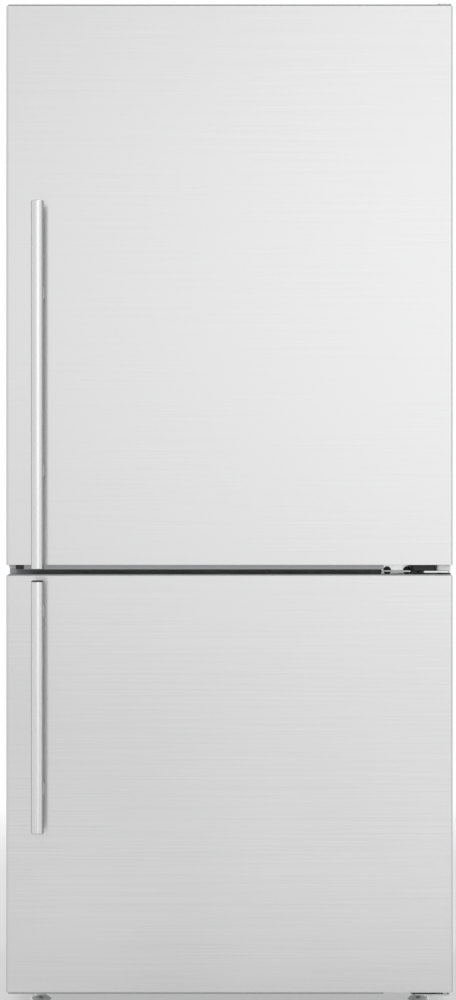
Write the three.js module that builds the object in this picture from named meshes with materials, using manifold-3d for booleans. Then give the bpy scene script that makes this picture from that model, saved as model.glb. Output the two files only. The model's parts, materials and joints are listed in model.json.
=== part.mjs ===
// Bottom freezer refrigerator, in millimetres. +Z is up and the doors face -Y.
// The origin is on the floor, under the middle of the whole refrigerator.

import * as THREE from 'three';
import { mergeVertices } from 'three/addons/utils/BufferGeometryUtils.js';
import Module from 'manifold-3d';

const wasm = await Module();
wasm.setup();

// ---------------------------------------------------------------- driving sizes

const fit = 0.3; // gap between pieces that touch

const width = 756; // of the cabinet and both doors
const doorTop = 1707; // floor to the top of the doors

// Doors
const doorDepth = 60;
const doorClearance = 32; // floor to the lower door
const lowerDoorHeight = 710;
const doorGap = 8.5; // between the lower door and the cap under the upper door
const doorCorner = 4; // bend radius of the steel fronts
const skin = 0.8; // sheet steel of the doors and the cabinet
const doorRim = 10; // plastic rim behind the steel sides
const capPlug = 18; // how far an end cap reaches into the steel
const troughDepth = 6; // in the inner side of an end cap
const troughInset = 14; // trough to the steel's front and rear edges
const troughHinge = 40; // trough to the hinge axis
const upperBottomRim = 7.5; // cap left bare under the upper steel front
const plainRim = 2; // cap left bare at the other door ends
const capNotch = 30; // rim cut back at the far end of the cap
const hingeNotch = 117; // rim cut back at the hinge end of the cap
const dykeWidth = 28;
const dykeReach = 28; // rim of the inner door above its plain back
const dykeClearance = 14; // inner door rim to the cavity walls
const dykeHingeOffset = 80; // inner door rim to the hinge axis
const dykeCorner = 18;

// Cabinet
const cabinetDepth = 627;
const cabinetReveal = 1; // cabinet top above the upper door
const baseClearance = 30; // floor to the base pan
const panSheet = 1.5;
const panLip = 68; // front lip of the base pan
const flange = 44; // front flange of the steel wrapper
const backFlange = 14;
const ribDepth = 3;
const ribWidth = 60;
const ribBorder = 80; // pressed ribs to the back panel's ends
const ribCorner = 24;
const fridgeWall = 50;
const freezerWall = 60;
const fridgeBackWall = 60;
const freezerBackWall = 78;
const ceilingWall = 49;
const mullion = 86; // insulation between the two compartments
const freezerFloorWall = 75;
const crossrailHeight = 74;
const crossrailCover = 34; // dark strip seen between the doors
const crossrailInset = 12; // light cabinet edge left beside the dark strip
const coverSheet = 1.2;
const linerWall = 2;
const linerCorner = 20;

// Seals
const sealGap = 13; // doors to cabinet
const sealInset = 15; // door edge to seal
const sealWidth = 18;
const sealCorner = 14;

// Hinges
const hingeInset = 13; // axis to the door's edge
const hingeSetback = 22; // axis behind the door's front
const pinRadius = 5;
const pinLength = 15;
const pinClearance = 0.35;
const armNose = 4; // plate beyond the pin
const armNeck = 35; // hinge axis to where the arm widens
const reliefLength = 110; // corner of a door left open for the arm
const plateThickness = 3;
const bottomPlateThickness = 3.4;
const topPlateThickness = 2.5;
const topCoverHeight = 11;
const topCoverWall = 2;
const topSeat = 78; // screwed seat of the top bracket
const topShoulder = 34; // where that seat starts behind the cabinet's front
const topMouth = 56; // cover left open over the arm
const plateRise = 2.6; // bracket plate above the lower door
const bottomPlateDrop = 3; // bottom bracket plate under the lower door
const closerLength = 42;
const closerInset = 15; // closer to hinge axis
const closerWidth = 22;
const closerTab = 9;
const armLength = 104; // hinge axis to the far end of a bracket
const flangeLength = 54; // screwed foot of a hinge bracket
const flangeThickness = 3;
const flangeHeight = 30;
const screwHole = 2.6;
const screwSpacing = 34;

// Handles
const barRadius = 10.5;
const barStandoff = 45;
const barInset = 56; // bar centre to the door's edge
const barChamfer = 2.2;
const upperBarLength = 618;
const upperBarRise = 1.5; // bar end above the door's lower edge
const lowerBarLength = 424;
const lowerBarDrop = 9; // bar end under the door's upper edge
const postWidth = 14;
const postHeight = 28;
const postFoot = 3;
const postSpacing = 300;
const upperPostRise = 166; // lowest post above the bar's lower end
const lowerPostRise = 71;

// Compressor compartment
const machineHeight = 230;
const machineDepth = 230;
const machineSlope = 45;
const stepWall = 58;
const coverRecess = 9; // machine cover behind the cabinet's back plane
const louvreWidth = 124;
const louvrePitch = 170;
const louvreShift = 60; // louvres set away from the gland's side
const louvreRows = 7;
const louvreStep = 20;
const louvreSlot = 7;
const louvreRise = 48; // lowest louvre above the cover's lower edge
const glandRadius = 9;
const glandBore = 4.5;
const glandInset = 84; // gland to the cabinet's side
const glandRise = 34;
const compressorRadius = 74;
const compressorHeight = 168;
const compressorInset = 188; // compressor's middle to the cabinet's side
const mountHeight = 10; // rubber feet under the compressor's plate
const panWidth = 232;
const panDepth = 100;
const panHeight = 22;
const panWall = 2;
const panInset = 160; // middle of the drain pan to the cabinet's side
const coilTube = 3.2;
const coilPitch = 32;
const coilPasses = 4;
const coilSole = 9; // lowest pass above the coil's foot plate
const coilInset = 32; // straight passes to the ends of the drain pan
const shroudThickness = 20;
const shroudMargin = 14; // fan tip to the shroud's edge
const motorRadius = 19;
const shaftRadius = 2.5;
const motorLength = 30;

// Feet and rollers
const footRadius = 19;
const footInset = 50;
const footSetback = 45;
const studRadius = 5;
const studLength = 62;
const rollerRadius = 22;
const rollerWidth = 18;
const rollerInset = 70;
const rollerSetback = 60;
const axleRadius = 4;
const earThickness = 2;

// Fresh food interior
const ledgeReach = 9;
const ledgeHeight = 10;
const shelfRises = [360, 520, 690]; // above the compartment floor
const crisperCoverRise = 202;
const shelfFrame = 12;
const shelfSide = 14;
const glass = 4;
const shelfSetback = 153; // shelf front behind the hinge axis
const shelfRearClearance = 5; // shelves to the duct
const binReach = 138; // inner face of the bins behind the hinge axis
const crisperClearance = 11; // under the crispers
const crisperFlange = 4;
const crisperBrim = 13; // flange past a crisper's body
const crisperWall = 2.5;
const crisperSideClearance = 62; // crisper to the hinge axis
const gripWidth = 120; // of a crisper's grip
const gripHeight = 20;
const gripDrop = 22; // grip under the crisper's rim
const railHeight = 26;
const railFoot = 17;
const railSheet = 3;
const ductWidth = 140;
const ductDepth = 25;
const ductHeight = 600;
const ductDrop = 58; // duct under the ceiling
const ductSlotInset = 24; // slots to the duct's sides
const housingWidth = 300;
const housingDepth = 200;
const housingHeight = 34;
const housingSetback = 24; // behind the shelves' front
const dialRadius = 17;
const dialDepth = 13;
const dialInset = 60; // dial to the housing's right end
const lensInset = 40;
const lensWidth = 130;
const lensDepth = 100;
const lensHeight = 11;
const lensWall = 2.5;

// Door bins
const binHeight = 110;
const binWall = 2.5;
const lipHeight = 6;
const bossReach = 16; // bosses that carry a bin, from the dyke's wall
const bossHeight = 7;
const binClearance = 1; // bin to the dyke's walls
const binRises = [46, 246, 446]; // above the compartment floor
const dairyRise = 656;
const dairyReach = 70;
const dairyHeight = 88;
const dairyFlap = 58;

// Freezer interior
const drawerSideClearance = 63; // drawer to the hinge axis
const drawerSetback = 91; // drawer front behind the hinge axis
const drawerGap = 8;
const drawerRim = 165; // rim above the drawer front's lower edge
const drawerBody = 140;
const drawerWall = 2.5;
const drawerSill = 40; // body wall left behind a drawer's front
const drawerFront = 8;
const drawerFlange = 16;
const pullWidth = 180; // hollow grip of a drawer front
const pullHeight = 22;
const pullDrop = 22; // grip under the front's upper edge
const drawerRearClearance = 6;
const evaporatorSpace = 70;
const evaporatorInset = 82; // finned block to the cavity's side walls
const evaporatorLift = 34; // finned block above the step
const evaporatorHeight = 180;
const evaporatorFins = 6;
const ventWidth = 60;
const ventHeight = 6;
const ventWeb = 18;
const ventRise = 20; // return slots above the step
const grillePitch = 13;
const grilleHub = 14;
const evaporatorFanRadius = 46;
const evaporatorFanDrop = 62; // fan's middle under the freezer's ceiling
const evaporatorFanSetback = 15.5; // fan's middle behind the panel's face
const panelSheet = 3.5;
const fanCollar = 22; // round wall behind the panel
const condenserFanRadius = 56;

// ---------------------------------------------------------------- worked-out places

const overallDepth = barRadius + barStandoff + doorDepth + sealGap + cabinetDepth;
const back = overallDepth / 2;
const front = back - cabinetDepth;
const doorBack = front - sealGap;
const doorFront = doorBack - doorDepth;
const side = width / 2;

const lowerDoor = { bottom: doorClearance, top: doorClearance + lowerDoorHeight };
const upperDoor = { bottom: lowerDoor.top + doorGap, top: doorTop };
const gapCentre = lowerDoor.top + doorGap / 2;
const cabinetTop = upperDoor.top + cabinetReveal;
const panTop = baseClearance + panSheet;

const hingeX = side - hingeInset;
const hingeY = doorFront + hingeSetback;
const pinBore = pinRadius + pinClearance;
const middlePlate = lowerDoor.top + plateRise;
const bottomPlate = lowerDoor.bottom - bottomPlateDrop - bottomPlateThickness;

const fridge = {
  half: side - fridgeWall,
  floor: gapCentre + mullion / 2,
  top: cabinetTop - ceilingWall,
  back: back - fridgeBackWall,
};
const freezer = {
  half: side - freezerWall,
  floor: baseClearance + freezerFloorWall,
  top: gapCentre - mullion / 2,
  back: back - freezerBackWall,
};
const machineFront = back - machineDepth;
const machineTop = baseClearance + machineHeight;
const stepFront = machineFront - stepWall;
const stepFloor = machineTop + stepWall;
const cavityFront = front + skin + fit;
const shelfFront = hingeY + shelfSetback;
const shelfBack = fridge.back - ductDepth - shelfRearClearance;
const freezerPanel = freezer.back - evaporatorSpace;

// ---------------------------------------------------------------- materials

function finish(color, roughness, metalness) {
  return new THREE.MeshStandardMaterial({ color, roughness, metalness });
}

const brushedSteel = finish(0xd6d7d8, 0.34, 1);
const cabinetPaint = finish(0xb4b6b8, 0.55, 0.1);
const darkPaint = finish(0x3b3d40, 0.6, 0.1);
const zinc = finish(0xc4c6c6, 0.4, 1);
const greyPlastic = finish(0x9fa1a3, 0.6, 0);
const blackPlastic = finish(0x1c1d1e, 0.55, 0);
const whitePlastic = finish(0xf0f1f2, 0.5, 0);
const clearPlastic = finish(0xdfe8ec, 0.12, 0);
const sealRubber = finish(0xd9dadb, 0.75, 0);
const foamYellow = finish(0xe6d9a8, 0.9, 0);
const shelfGlass = finish(0xcfe0dd, 0.08, 0);
const aluminium = finish(0xcacccd, 0.42, 1);
const blackSteel = finish(0x202224, 0.5, 0.6);

// ---------------------------------------------------------------- solids

// Turns a closed geometry into a solid that can be joined and cut.
function solid(geometry) {
  const bare = geometry.index ? geometry.toNonIndexed() : geometry.clone();
  bare.deleteAttribute('normal');
  bare.deleteAttribute('uv');
  const merged = mergeVertices(bare, 1e-4);
  const vertProperties = new Float32Array(merged.attributes.position.array);
  const triangles = [];
  const index = merged.index.array;
  for (let i = 0; i < index.length; i += 3) {
    const [a, b, c] = [index[i], index[i + 1], index[i + 2]];
    if (a !== b && b !== c && c !== a) triangles.push(a, b, c);
  }
  if (signedVolume(vertProperties, triangles) < 0) triangles.reverse();
  const triVerts = new Uint32Array(triangles);
  return new wasm.Manifold(new wasm.Mesh({ numProp: 3, vertProperties, triVerts }));
}

function signedVolume(points, triangles) {
  const [a, b, c] = [new THREE.Vector3(), new THREE.Vector3(), new THREE.Vector3()];
  let sum = 0;
  for (let i = 0; i < triangles.length; i += 3) {
    a.fromArray(points, 3 * triangles[i]);
    b.fromArray(points, 3 * triangles[i + 1]);
    c.fromArray(points, 3 * triangles[i + 2]);
    sum += a.dot(b.cross(c)) / 6;
  }
  return sum;
}

function join(...solids) {
  return solids.reduce((all, next) => all.add(next));
}

function cut(body, ...tools) {
  return tools.reduce((rest, tool) => rest.subtract(tool), body);
}

// Box between two values along each axis.
function block(x, y, z) {
  const box = new THREE.BoxGeometry(x[1] - x[0], y[1] - y[0], z[1] - z[0]);
  box.translate((x[0] + x[1]) / 2, (y[0] + y[1]) / 2, (z[0] + z[1]) / 2);
  return solid(box);
}

// Outline extruded along an axis. The outline is in (y, z) for x, (x, z) for y and (x, y) for z.
const bases = {
  x: [new THREE.Vector3(0, 1, 0), new THREE.Vector3(0, 0, 1), new THREE.Vector3(1, 0, 0)],
  y: [new THREE.Vector3(1, 0, 0), new THREE.Vector3(0, 0, 1), new THREE.Vector3(0, -1, 0)],
  z: [new THREE.Vector3(1, 0, 0), new THREE.Vector3(0, 1, 0), new THREE.Vector3(0, 0, 1)],
};

// Each arc of the outline gets the given number of steps.
function prismGeometry(outline, axis, from, to, arcSteps = 4) {
  const settings = { depth: to - from, bevelEnabled: false, curveSegments: arcSteps / 2 };
  const geometry = new THREE.ExtrudeGeometry(outline, settings);
  geometry.translate(0, 0, axis === 'y' ? -to : from);
  geometry.applyMatrix4(new THREE.Matrix4().makeBasis(...bases[axis]));
  return geometry;
}

function prism(outline, axis, from, to, arcSteps) {
  return solid(prismGeometry(outline, axis, from, to, arcSteps));
}

function polygon(...points) {
  return new THREE.Shape(points.map(([u, v]) => new THREE.Vector2(u, v)));
}

function roundedRect(u, v, r) {
  const shape = new THREE.Shape();
  shape.moveTo(u[0] + r, v[0]);
  shape.lineTo(u[1] - r, v[0]);
  shape.absarc(u[1] - r, v[0] + r, r, -Math.PI / 2, 0);
  shape.lineTo(u[1], v[1] - r);
  shape.absarc(u[1] - r, v[1] - r, r, 0, Math.PI / 2);
  shape.lineTo(u[0] + r, v[1]);
  shape.absarc(u[0] + r, v[1] - r, r, Math.PI / 2, Math.PI);
  shape.lineTo(u[0], v[0] + r);
  shape.absarc(u[0] + r, v[0] + r, r, Math.PI, 1.5 * Math.PI);
  shape.closePath();
  return shape;
}

// Outline turned about the Z axis through the origin, from [radius, z] points.
function turned(points, segments = 20) {
  const profile = points.map(([radius, z]) => new THREE.Vector2(radius, z));
  return solid(new THREE.LatheGeometry(profile, segments).rotateX(Math.PI / 2));
}

function rod(radius, axis, centre, from, to, sides = 16) {
  const circle = new THREE.Shape();
  circle.absarc(centre[0], centre[1], radius, 0, 2 * Math.PI);
  return prism(circle, axis, from, to, sides);
}

// Rounded box open at the top, narrower at its foot, standing on z = 0 about the origin.
function tray({ width, depth, height, wall, taper, corner }) {
  function shell(inset, from) {
    const outline = roundedRect(
      [inset - width / 2, width / 2 - inset], [inset - depth / 2, depth / 2 - inset], corner - inset,
    );
    const geometry = prismGeometry(outline, 'z', from, height + inset, 2);
    const points = geometry.attributes.position;
    for (let i = 0; i < points.count; i += 1) {
      const low = 1 - points.getZ(i) / (height + inset);
      points.setX(i, points.getX(i) * (1 - (low * 2 * taper) / width));
      points.setY(i, points.getY(i) * (1 - (low * 2 * taper) / depth));
    }
    return solid(geometry);
  }
  return cut(shell(0, 0), shell(wall, wall));
}

// ---------------------------------------------------------------- scene graph

const refrigerator = new THREE.Group();
const cabinet = new THREE.Group();
const fridgeDoor = new THREE.Group();
const freezerDoor = new THREE.Group();
refrigerator.add(cabinet, fridgeDoor, freezerDoor);

function place(group, name, body, material, position = [0, 0, 0]) {
  const { vertProperties, triVerts } = body.getMesh();
  const geometry = new THREE.BufferGeometry();
  geometry.setAttribute('position', new THREE.BufferAttribute(new Float32Array(vertProperties), 3));
  geometry.setIndex(new THREE.BufferAttribute(new Uint32Array(triVerts), 1));
  geometry.computeVertexNormals();
  const mesh = new THREE.Mesh(geometry, material);
  mesh.name = name;
  mesh.position.set(...position);
  group.add(mesh);
  return mesh;
}

// ---------------------------------------------------------------- cabinet shell

function outerWrapper() {
  const rear = back - skin - fit;
  const outside = block([-side, side], [front, rear], [baseClearance, cabinetTop]);
  const inside = block(
    [skin - side, side - skin], [front + skin, rear - skin], [baseClearance - 1, cabinetTop - skin],
  );
  const mouth = block(
    [flange - side, side - flange], [front - 1, front + 2 * skin], [baseClearance - 1, cabinetTop - flange],
  );
  const rearMouth = block(
    [backFlange - side, side - backFlange], [rear - 2 * skin, rear + 1],
    [baseClearance - 1, cabinetTop - backFlange],
  );
  return cut(outside, inside, mouth, rearMouth);
}

// Sheet that closes the cabinet's back above the compressor compartment, with two pressed ribs.
function backPanel() {
  const edge = 4;
  const z = [machineTop + fit, cabinetTop - edge];
  const panel = block([edge - side, side - edge], [back - skin, back], z);
  const ribs = [-1, 1].map((hand) => {
    const middle = hand * side * 0.45;
    const loop = (margin) => roundedRect(
      [middle - ribWidth / 2 + margin, middle + ribWidth / 2 - margin],
      [machineTop + ribBorder + margin, cabinetTop - ribBorder - margin], ribCorner - margin,
    );
    return cut(
      prism(loop(0), 'y', back - skin - ribDepth, back - skin, 2),
      prism(loop(8), 'y', back - skin - ribDepth - 1, back - skin - 0.01, 2),
    );
  });
  return join(panel, ...ribs);
}

// Flat pan, front lip, and the wall and roof of the compressor compartment, with ears for the rollers.
function basePan() {
  const half = side - skin - fit;
  const rear = back - 2 * (skin + fit);
  const slope = machineTop - machineSlope;
  const section = polygon(
    [cavityFront, baseClearance], [rear, baseClearance], [rear, panTop], [machineFront + panSheet, panTop],
    [machineFront + panSheet, slope], [machineFront + machineSlope, machineTop - panSheet],
    [rear, machineTop - panSheet], [rear, machineTop], [machineFront + machineSlope, machineTop],
    [machineFront, slope], [machineFront, panTop], [cavityFront, panTop],
  );
  const lipHalf = side - flange - fit;
  let pan = join(
    prism(section, 'x', -half, half),
    block([-lipHalf, lipHalf], [front, front + panSheet], [baseClearance, baseClearance + panLip]),
    block([-lipHalf, lipHalf], [front, cavityFront + 1], [baseClearance, panTop]),
    prism(cheek(rear), 'x', -half, panSheet - half),
    prism(cheek(rear), 'x', half - panSheet, half),
  );
  for (const hand of [-1, 1]) {
    const x = hand * (side - rollerInset);
    const y = back - rollerSetback;
    const reach = rollerRadius + 4;
    const slot = rollerWidth / 2 + 1;
    pan = cut(
      pan, block([x - slot, x + slot], [y - reach, y + reach], [baseClearance - 1, panTop + 1]),
      rod(studRadius + fit, 'z', footPlace(hand), baseClearance - 1, panTop + 1, 10),
    );
    for (const ear of [-1, 1]) {
      const inner = x + ear * slot;
      const outer = inner + ear * earThickness;
      const ends = [Math.min(inner, outer), Math.max(inner, outer)];
      pan = join(pan, block(ends, [y - 12, y + 12], [rollerRadius - 9, panTop + 10]));
    }
    pan = join(pan, rod(axleRadius, 'x', [y, rollerRadius], x - slot - 0.5, x + slot + 0.5, 10));
  }
  return pan;
}

// Side wall of the compressor compartment, under the slope of its roof.
function cheek(rear) {
  const inset = panSheet / 2;
  return polygon(
    [machineFront + inset, panTop - inset], [rear - inset, panTop - inset],
    [rear - inset, machineTop - inset], [machineFront + machineSlope, machineTop - inset],
    [machineFront + inset, machineTop - machineSlope],
  );
}

function footPlace(hand) {
  return [hand * (side - footInset), front + footSetback];
}

// Foam between wrapper and liners: a deep box with two cavities, stepped over the compartment.
function insulationFoam() {
  const half = side - skin - fit;
  const bottom = panTop + fit;
  const rear = back - 2 * (skin + fit) - 3;
  const top = cabinetTop - skin - fit;
  const outline = polygon(
    [cavityFront + 1, bottom], [machineFront - fit, bottom],
    [machineFront - fit, machineTop - machineSlope + 1],
    [machineFront + machineSlope - 1, machineTop + fit], [rear, machineTop + fit], [rear, top],
    [cavityFront + 1, top],
  );
  const skinGap = linerWall + fit;
  const fridgeHole = block(
    [-fridge.half - skinGap, fridge.half + skinGap], [front - 1, fridge.back + skinGap],
    [fridge.floor - skinGap, fridge.top + skinGap],
  );
  const freezerHole = prism(
    freezerSection(skinGap, front - 1), 'x', -freezer.half - skinGap, freezer.half + skinGap,
  );
  const wells = [-1, 1].map(
    (hand) => rod(studRadius + 2, 'z', footPlace(hand), bottom - 1, baseClearance + studLength, 10),
  );
  return cut(prism(outline, 'x', -half, half), fridgeHole, freezerHole, ...wells);
}

// Side view of the freezer cavity, stepped at the rear, grown by the given margin.
function freezerSection(margin, from) {
  const low = freezer.floor - margin;
  const step = stepFloor - margin;
  return polygon(
    [from, low], [stepFront + margin, low], [stepFront + margin, step],
    [freezer.back + margin, step], [freezer.back + margin, freezer.top + margin],
    [from, freezer.top + margin],
  );
}

// Flat front edge of a liner, between the cavity and the steel around it.
function linerEdge(cavity, low, high) {
  const outer = side - flange - fit;
  const ring = block([-outer, outer], [front, cavityFront], [low, high]);
  const mouth = block([-cavity.half, cavity.half], [front - 1, cavityFront + 1], [cavity.floor, cavity.top]);
  return cut(ring, mouth);
}

// Moulded rib with a sloped underside, on both side walls, its top at the given height.
function ledges(half, reach, height, top, from, to) {
  const inner = half - reach;
  const root = half + linerWall / 2;
  const right = polygon([root, top - 2 * height], [inner, top - height], [inner, top], [root, top]);
  const left = polygon([-root, top], [-inner, top], [-inner, top - height], [-root, top - 2 * height]);
  return join(prism(right, 'y', from, to), prism(left, 'y', from, to));
}

function fridgeLiner() {
  const outer = roundedRect(
    [-fridge.half - linerWall, fridge.half + linerWall], [fridge.floor - linerWall, fridge.top + linerWall],
    linerCorner + linerWall,
  );
  const inner = roundedRect([-fridge.half, fridge.half], [fridge.floor, fridge.top], linerCorner);
  const shell = cut(
    prism(outer, 'y', front, fridge.back + linerWall), prism(inner, 'y', front - 1, fridge.back),
  );
  const rises = [crisperCoverRise, ...shelfRises];
  const supports = rises.map(
    (rise) => ledges(fridge.half, ledgeReach, ledgeHeight, fridge.floor + rise - fit, shelfFront, shelfBack),
  );
  const low = gapCentre + crossrailHeight / 2 + fit;
  const edge = cut(
    linerEdge(fridge, low, cabinetTop - flange - fit), prism(inner, 'y', front - 2, front + 20),
  );
  return join(shell, edge, ...supports);
}

function drawerPlace(level) {
  const pitch = (freezer.top - freezer.floor) / 3;
  return freezer.floor + level * pitch + drawerGap / 2;
}

function freezerLiner() {
  const half = freezer.half;
  const shell = cut(
    prism(freezerSection(linerWall, front), 'x', -half - linerWall, half + linerWall),
    prism(freezerSection(0, front - 1), 'x', -half, half),
  );
  const edge = linerEdge(freezer, baseClearance + panLip + fit, gapCentre - crossrailHeight / 2 - fit);
  const reach = half - (hingeX - drawerSideClearance - drawerFlange + 4);
  const supports = [0, 1, 2].map((level) => ledges(
    half, reach, 5, drawerPlace(level) + drawerRim - fit, hingeY + drawerSetback + drawerFront + 2,
    (level ? freezerPanel : stepFront) - drawerRearClearance,
  ));
  return join(shell, edge, ...supports);
}

// Steel rail between the compartments, with the dark strip that shows between the doors.
function frontCrossrail() {
  const inner = side - flange - fit;
  const outer = side - crossrailInset;
  const low = gapCentre - crossrailHeight / 2;
  const coverLow = gapCentre - crossrailCover / 2;
  return join(
    block([-inner, inner], [front, front + coverSheet], [low, low + crossrailHeight]),
    block([-inner, inner], [front - fit - coverSheet, front + 0.1], [coverLow, coverLow + crossrailCover]),
    block([-outer, outer], [front - fit - coverSheet, front - fit], [coverLow, coverLow + crossrailCover]),
  );
}

// ---------------------------------------------------------------- hinges

// Horizontal arm from the hinge pin back to the screwed foot, clear of the closer's tab as it swings.
function hingeArm(rear) {
  const nose = pinRadius + armNose;
  const neck = armNeck;
  return polygon(
    [hingeX - neck, hingeY - nose], [hingeX + nose - 3, hingeY - nose], [hingeX + nose, hingeY - nose + 3],
    [hingeX + nose, hingeY + nose], [hingeX - neck + 8, rear], [hingeX - armLength, rear],
    [hingeX - armLength, rear - 9], [hingeX - neck, hingeY + 14],
  );
}

// Vertical foot with two screw holes on the cabinet's front.
function hingeFoot(face, low) {
  const right = hingeX - armLength + flangeLength;
  const middle = right - flangeLength / 2;
  const foot = block(
    [right - flangeLength, right], [face - flangeThickness, face], [low, low + flangeHeight],
  );
  const holes = [-1, 1].map((hand) => rod(
    screwHole, 'y', [middle + (hand * screwSpacing) / 2, low + flangeHeight / 2], face - 9, face + 1, 8,
  ));
  return cut(foot, ...holes);
}

function middleHingeBracket() {
  const face = front - 2 * fit - coverSheet;
  const arm = prism(hingeArm(face - 0.5), 'z', middlePlate, middlePlate + plateThickness);
  const foot = hingeFoot(face, gapCentre - flangeHeight / 2 + 1);
  const reach = pinLength + upperBottomRim;
  const pin = rod(pinRadius, 'z', [hingeX, hingeY], lowerDoor.top - pinLength, upperDoor.bottom + reach, 12);
  return join(arm, foot, pin);
}

function bottomHingeBracket() {
  const face = front - fit;
  const arm = prism(hingeArm(face - 0.5), 'z', bottomPlate, bottomPlate + bottomPlateThickness);
  const right = hingeX - armLength + flangeLength;
  const foot = block(
    [right - flangeLength, right], [face - flangeThickness, face], [bottomPlate, panTop + 14],
  );
  const pin = rod(
    pinRadius, 'z', [hingeX, hingeY], bottomPlate + 1, lowerDoor.bottom + plainRim + pinLength, 12,
  );
  return join(arm, foot, pin);
}

function topHingeBracket() {
  const nose = pinRadius + 7;
  const seat = [hingeX - topSeat, hingeX];
  const outline = polygon(
    [hingeX - nose, hingeY - nose + 4], [hingeX - nose + 4, hingeY - nose],
    [hingeX + nose - 4, hingeY - nose], [hingeX + nose, hingeY - nose + 4],
    [hingeX + nose, front + 4], [seat[1] + 4, front + 14], [seat[1], front + topSeat],
    [seat[0], front + topSeat], [seat[0], front + topShoulder], [hingeX - nose - 8, front + 8],
    [hingeX - nose, front - 6],
  );
  const plate = prism(outline, 'z', cabinetTop + fit, cabinetTop + fit + topPlateThickness);
  const pin = rod(
    pinRadius, 'z', [hingeX, hingeY], upperDoor.top - plainRim - pinLength, cabinetTop + fit + 1, 12,
  );
  return join(plate, pin);
}

// Low cap over the bracket's screws, open below and in front.
function topHingeCover() {
  const low = cabinetTop + fit;
  const outline = (margin) => roundedRect(
    [hingeX - topSeat - 6 + margin, hingeX + 10 - margin],
    [front + 16 + margin, front + topSeat + 8 - margin], 8 - margin,
  );
  const roof = low + topCoverHeight;
  return cut(
    prism(outline(0), 'z', low, roof), prism(outline(topCoverWall), 'z', low - 1, roof - topCoverWall),
    block(
      [hingeX + 6 - topMouth, hingeX + 6], [front + 10, front + 20],
      [low - 1, low + topPlateThickness + 1.5],
    ),
  );
}

// Plastic closer under a door, with a tab that reaches past the bracket's plate.
function closer(plateTop, rimTop, tabLow) {
  const right = hingeX - closerInset;
  const left = right - closerLength;
  const y = [hingeY - closerWidth / 2, hingeY + closerWidth / 2];
  const body = prism(
    polygon(
      [left, y[0] + 4], [left + 4, y[0]], [right - 3, y[0]], [right, y[0] + 3],
      [right, y[1]], [left, y[1]],
    ),
    'z', plateTop + fit, rimTop - fit,
  );
  if (tabLow === undefined) return body;
  const tabSide = closerWidth / 4;
  const tab = block([left, left + closerTab], [hingeY - tabSide, hingeY + tabSide], [tabLow, plateTop + 2]);
  return join(body, tab);
}

// ---------------------------------------------------------------- doors

// Plan outline of a door with bent front corners, inset by the given amount and cut off at the rear.
function doorOutline(inset, rear) {
  const r = doorCorner - inset;
  const [left, right, near] = [inset - side, side - inset, doorFront + inset];
  const shape = new THREE.Shape();
  shape.moveTo(left, rear);
  shape.lineTo(left, near + r);
  shape.absarc(left + r, near + r, r, Math.PI, 1.5 * Math.PI);
  shape.lineTo(right - r, near);
  shape.absarc(right - r, near + r, r, 1.5 * Math.PI, 2 * Math.PI);
  shape.lineTo(right, rear);
  shape.closePath();
  return shape;
}

const steelRear = doorBack - doorRim;

// Steel front with its sides bent back.
function doorPanel(door, bottomRim) {
  const [low, high] = [door.bottom + bottomRim, door.top - plainRim];
  return cut(
    prism(doorOutline(0, steelRear), 'z', low, high),
    prism(doorOutline(skin, steelRear + 1), 'z', low - 1, high + 1),
  );
}

// End cap: a plug inside the steel with a trough where the foam keys in, and a rim past its edge.
function doorCap(door, end, rim, notches) {
  const up = end === 'top' ? 1 : -1;
  const edge = end === 'top' ? door.top : door.bottom;
  const steelEdge = edge - up * rim;
  const range = (a, b) => [Math.min(a, b), Math.max(a, b)];
  const plug = range(steelEdge - up * capPlug, steelEdge);
  const outline = doorOutline(skin + fit, steelRear - fit);
  const plan = prism(doorOutline(fit, steelRear - fit), 'z', ...range(steelEdge + up * fit, edge));
  const neck = prism(outline, 'z', ...range(steelEdge - up, steelEdge + up * 1.5));
  const rimArea = block(
    [notches.left - side, side - notches.right], [doorFront - 1, doorBack],
    range(steelEdge - 2 * up, edge + up),
  );
  const boreEnds = range(steelEdge - up * (pinLength + 1), edge + up);
  const bore = rod(pinBore, 'z', [hingeX, hingeY], ...boreEnds, 16);
  const trough = block(
    [troughInset - side, hingeX - troughHinge], [doorFront + troughInset, steelRear - troughInset],
    range(steelEdge - up * (capPlug + 1), steelEdge - up * (capPlug - troughDepth)),
  );
  const pocket = cut(prism(outline, 'z', ...plug), trough);
  return cut(join(pocket, join(plan, neck).intersect(rimArea)), bore);
}

// Foamed inner door: a core inside the steel, a rim behind it and a raised dyke that enters the cavity.
function doorLiner(door, bottomRim, cavity) {
  const core = prism(
    doorOutline(skin + fit, steelRear + 2), 'z',
    door.bottom + bottomRim + capPlug + fit, door.top - plainRim - capPlug - fit,
  );
  const inset = 0.5;
  const rim = prism(
    roundedRect([inset - side, side - inset], [door.bottom + inset, door.top - inset], 5),
    'y', steelRear + fit, doorBack,
  );
  const x = [dykeClearance - cavity.half, hingeX - dykeHingeOffset];
  const z = [cavity.floor + dykeClearance, cavity.top - dykeClearance];
  const well = roundedRect([x[0] + dykeWidth, x[1] - dykeWidth], [z[0] + dykeWidth, z[1] - dykeWidth], 6);
  const dyke = cut(
    prism(roundedRect(x, z, dykeCorner), 'y', doorBack - 1, doorBack + dykeReach),
    prism(well, 'y', doorBack, doorBack + dykeReach + 1),
  );
  const relief = prism(hingeRelief(), 'z', door.bottom - 1, door.bottom + bottomRim + 4);
  return cut(join(core, rim, dyke), relief);
}

// Corner left open at the rear of a door's lower end, where the bracket's arm passes.
function hingeRelief() {
  return polygon(
    [hingeX - reliefLength, doorBack + 5], [hingeX - reliefLength, steelRear - 1], [side + 5, steelRear - 1],
    [side + 5, doorBack + 5],
  );
}

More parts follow.
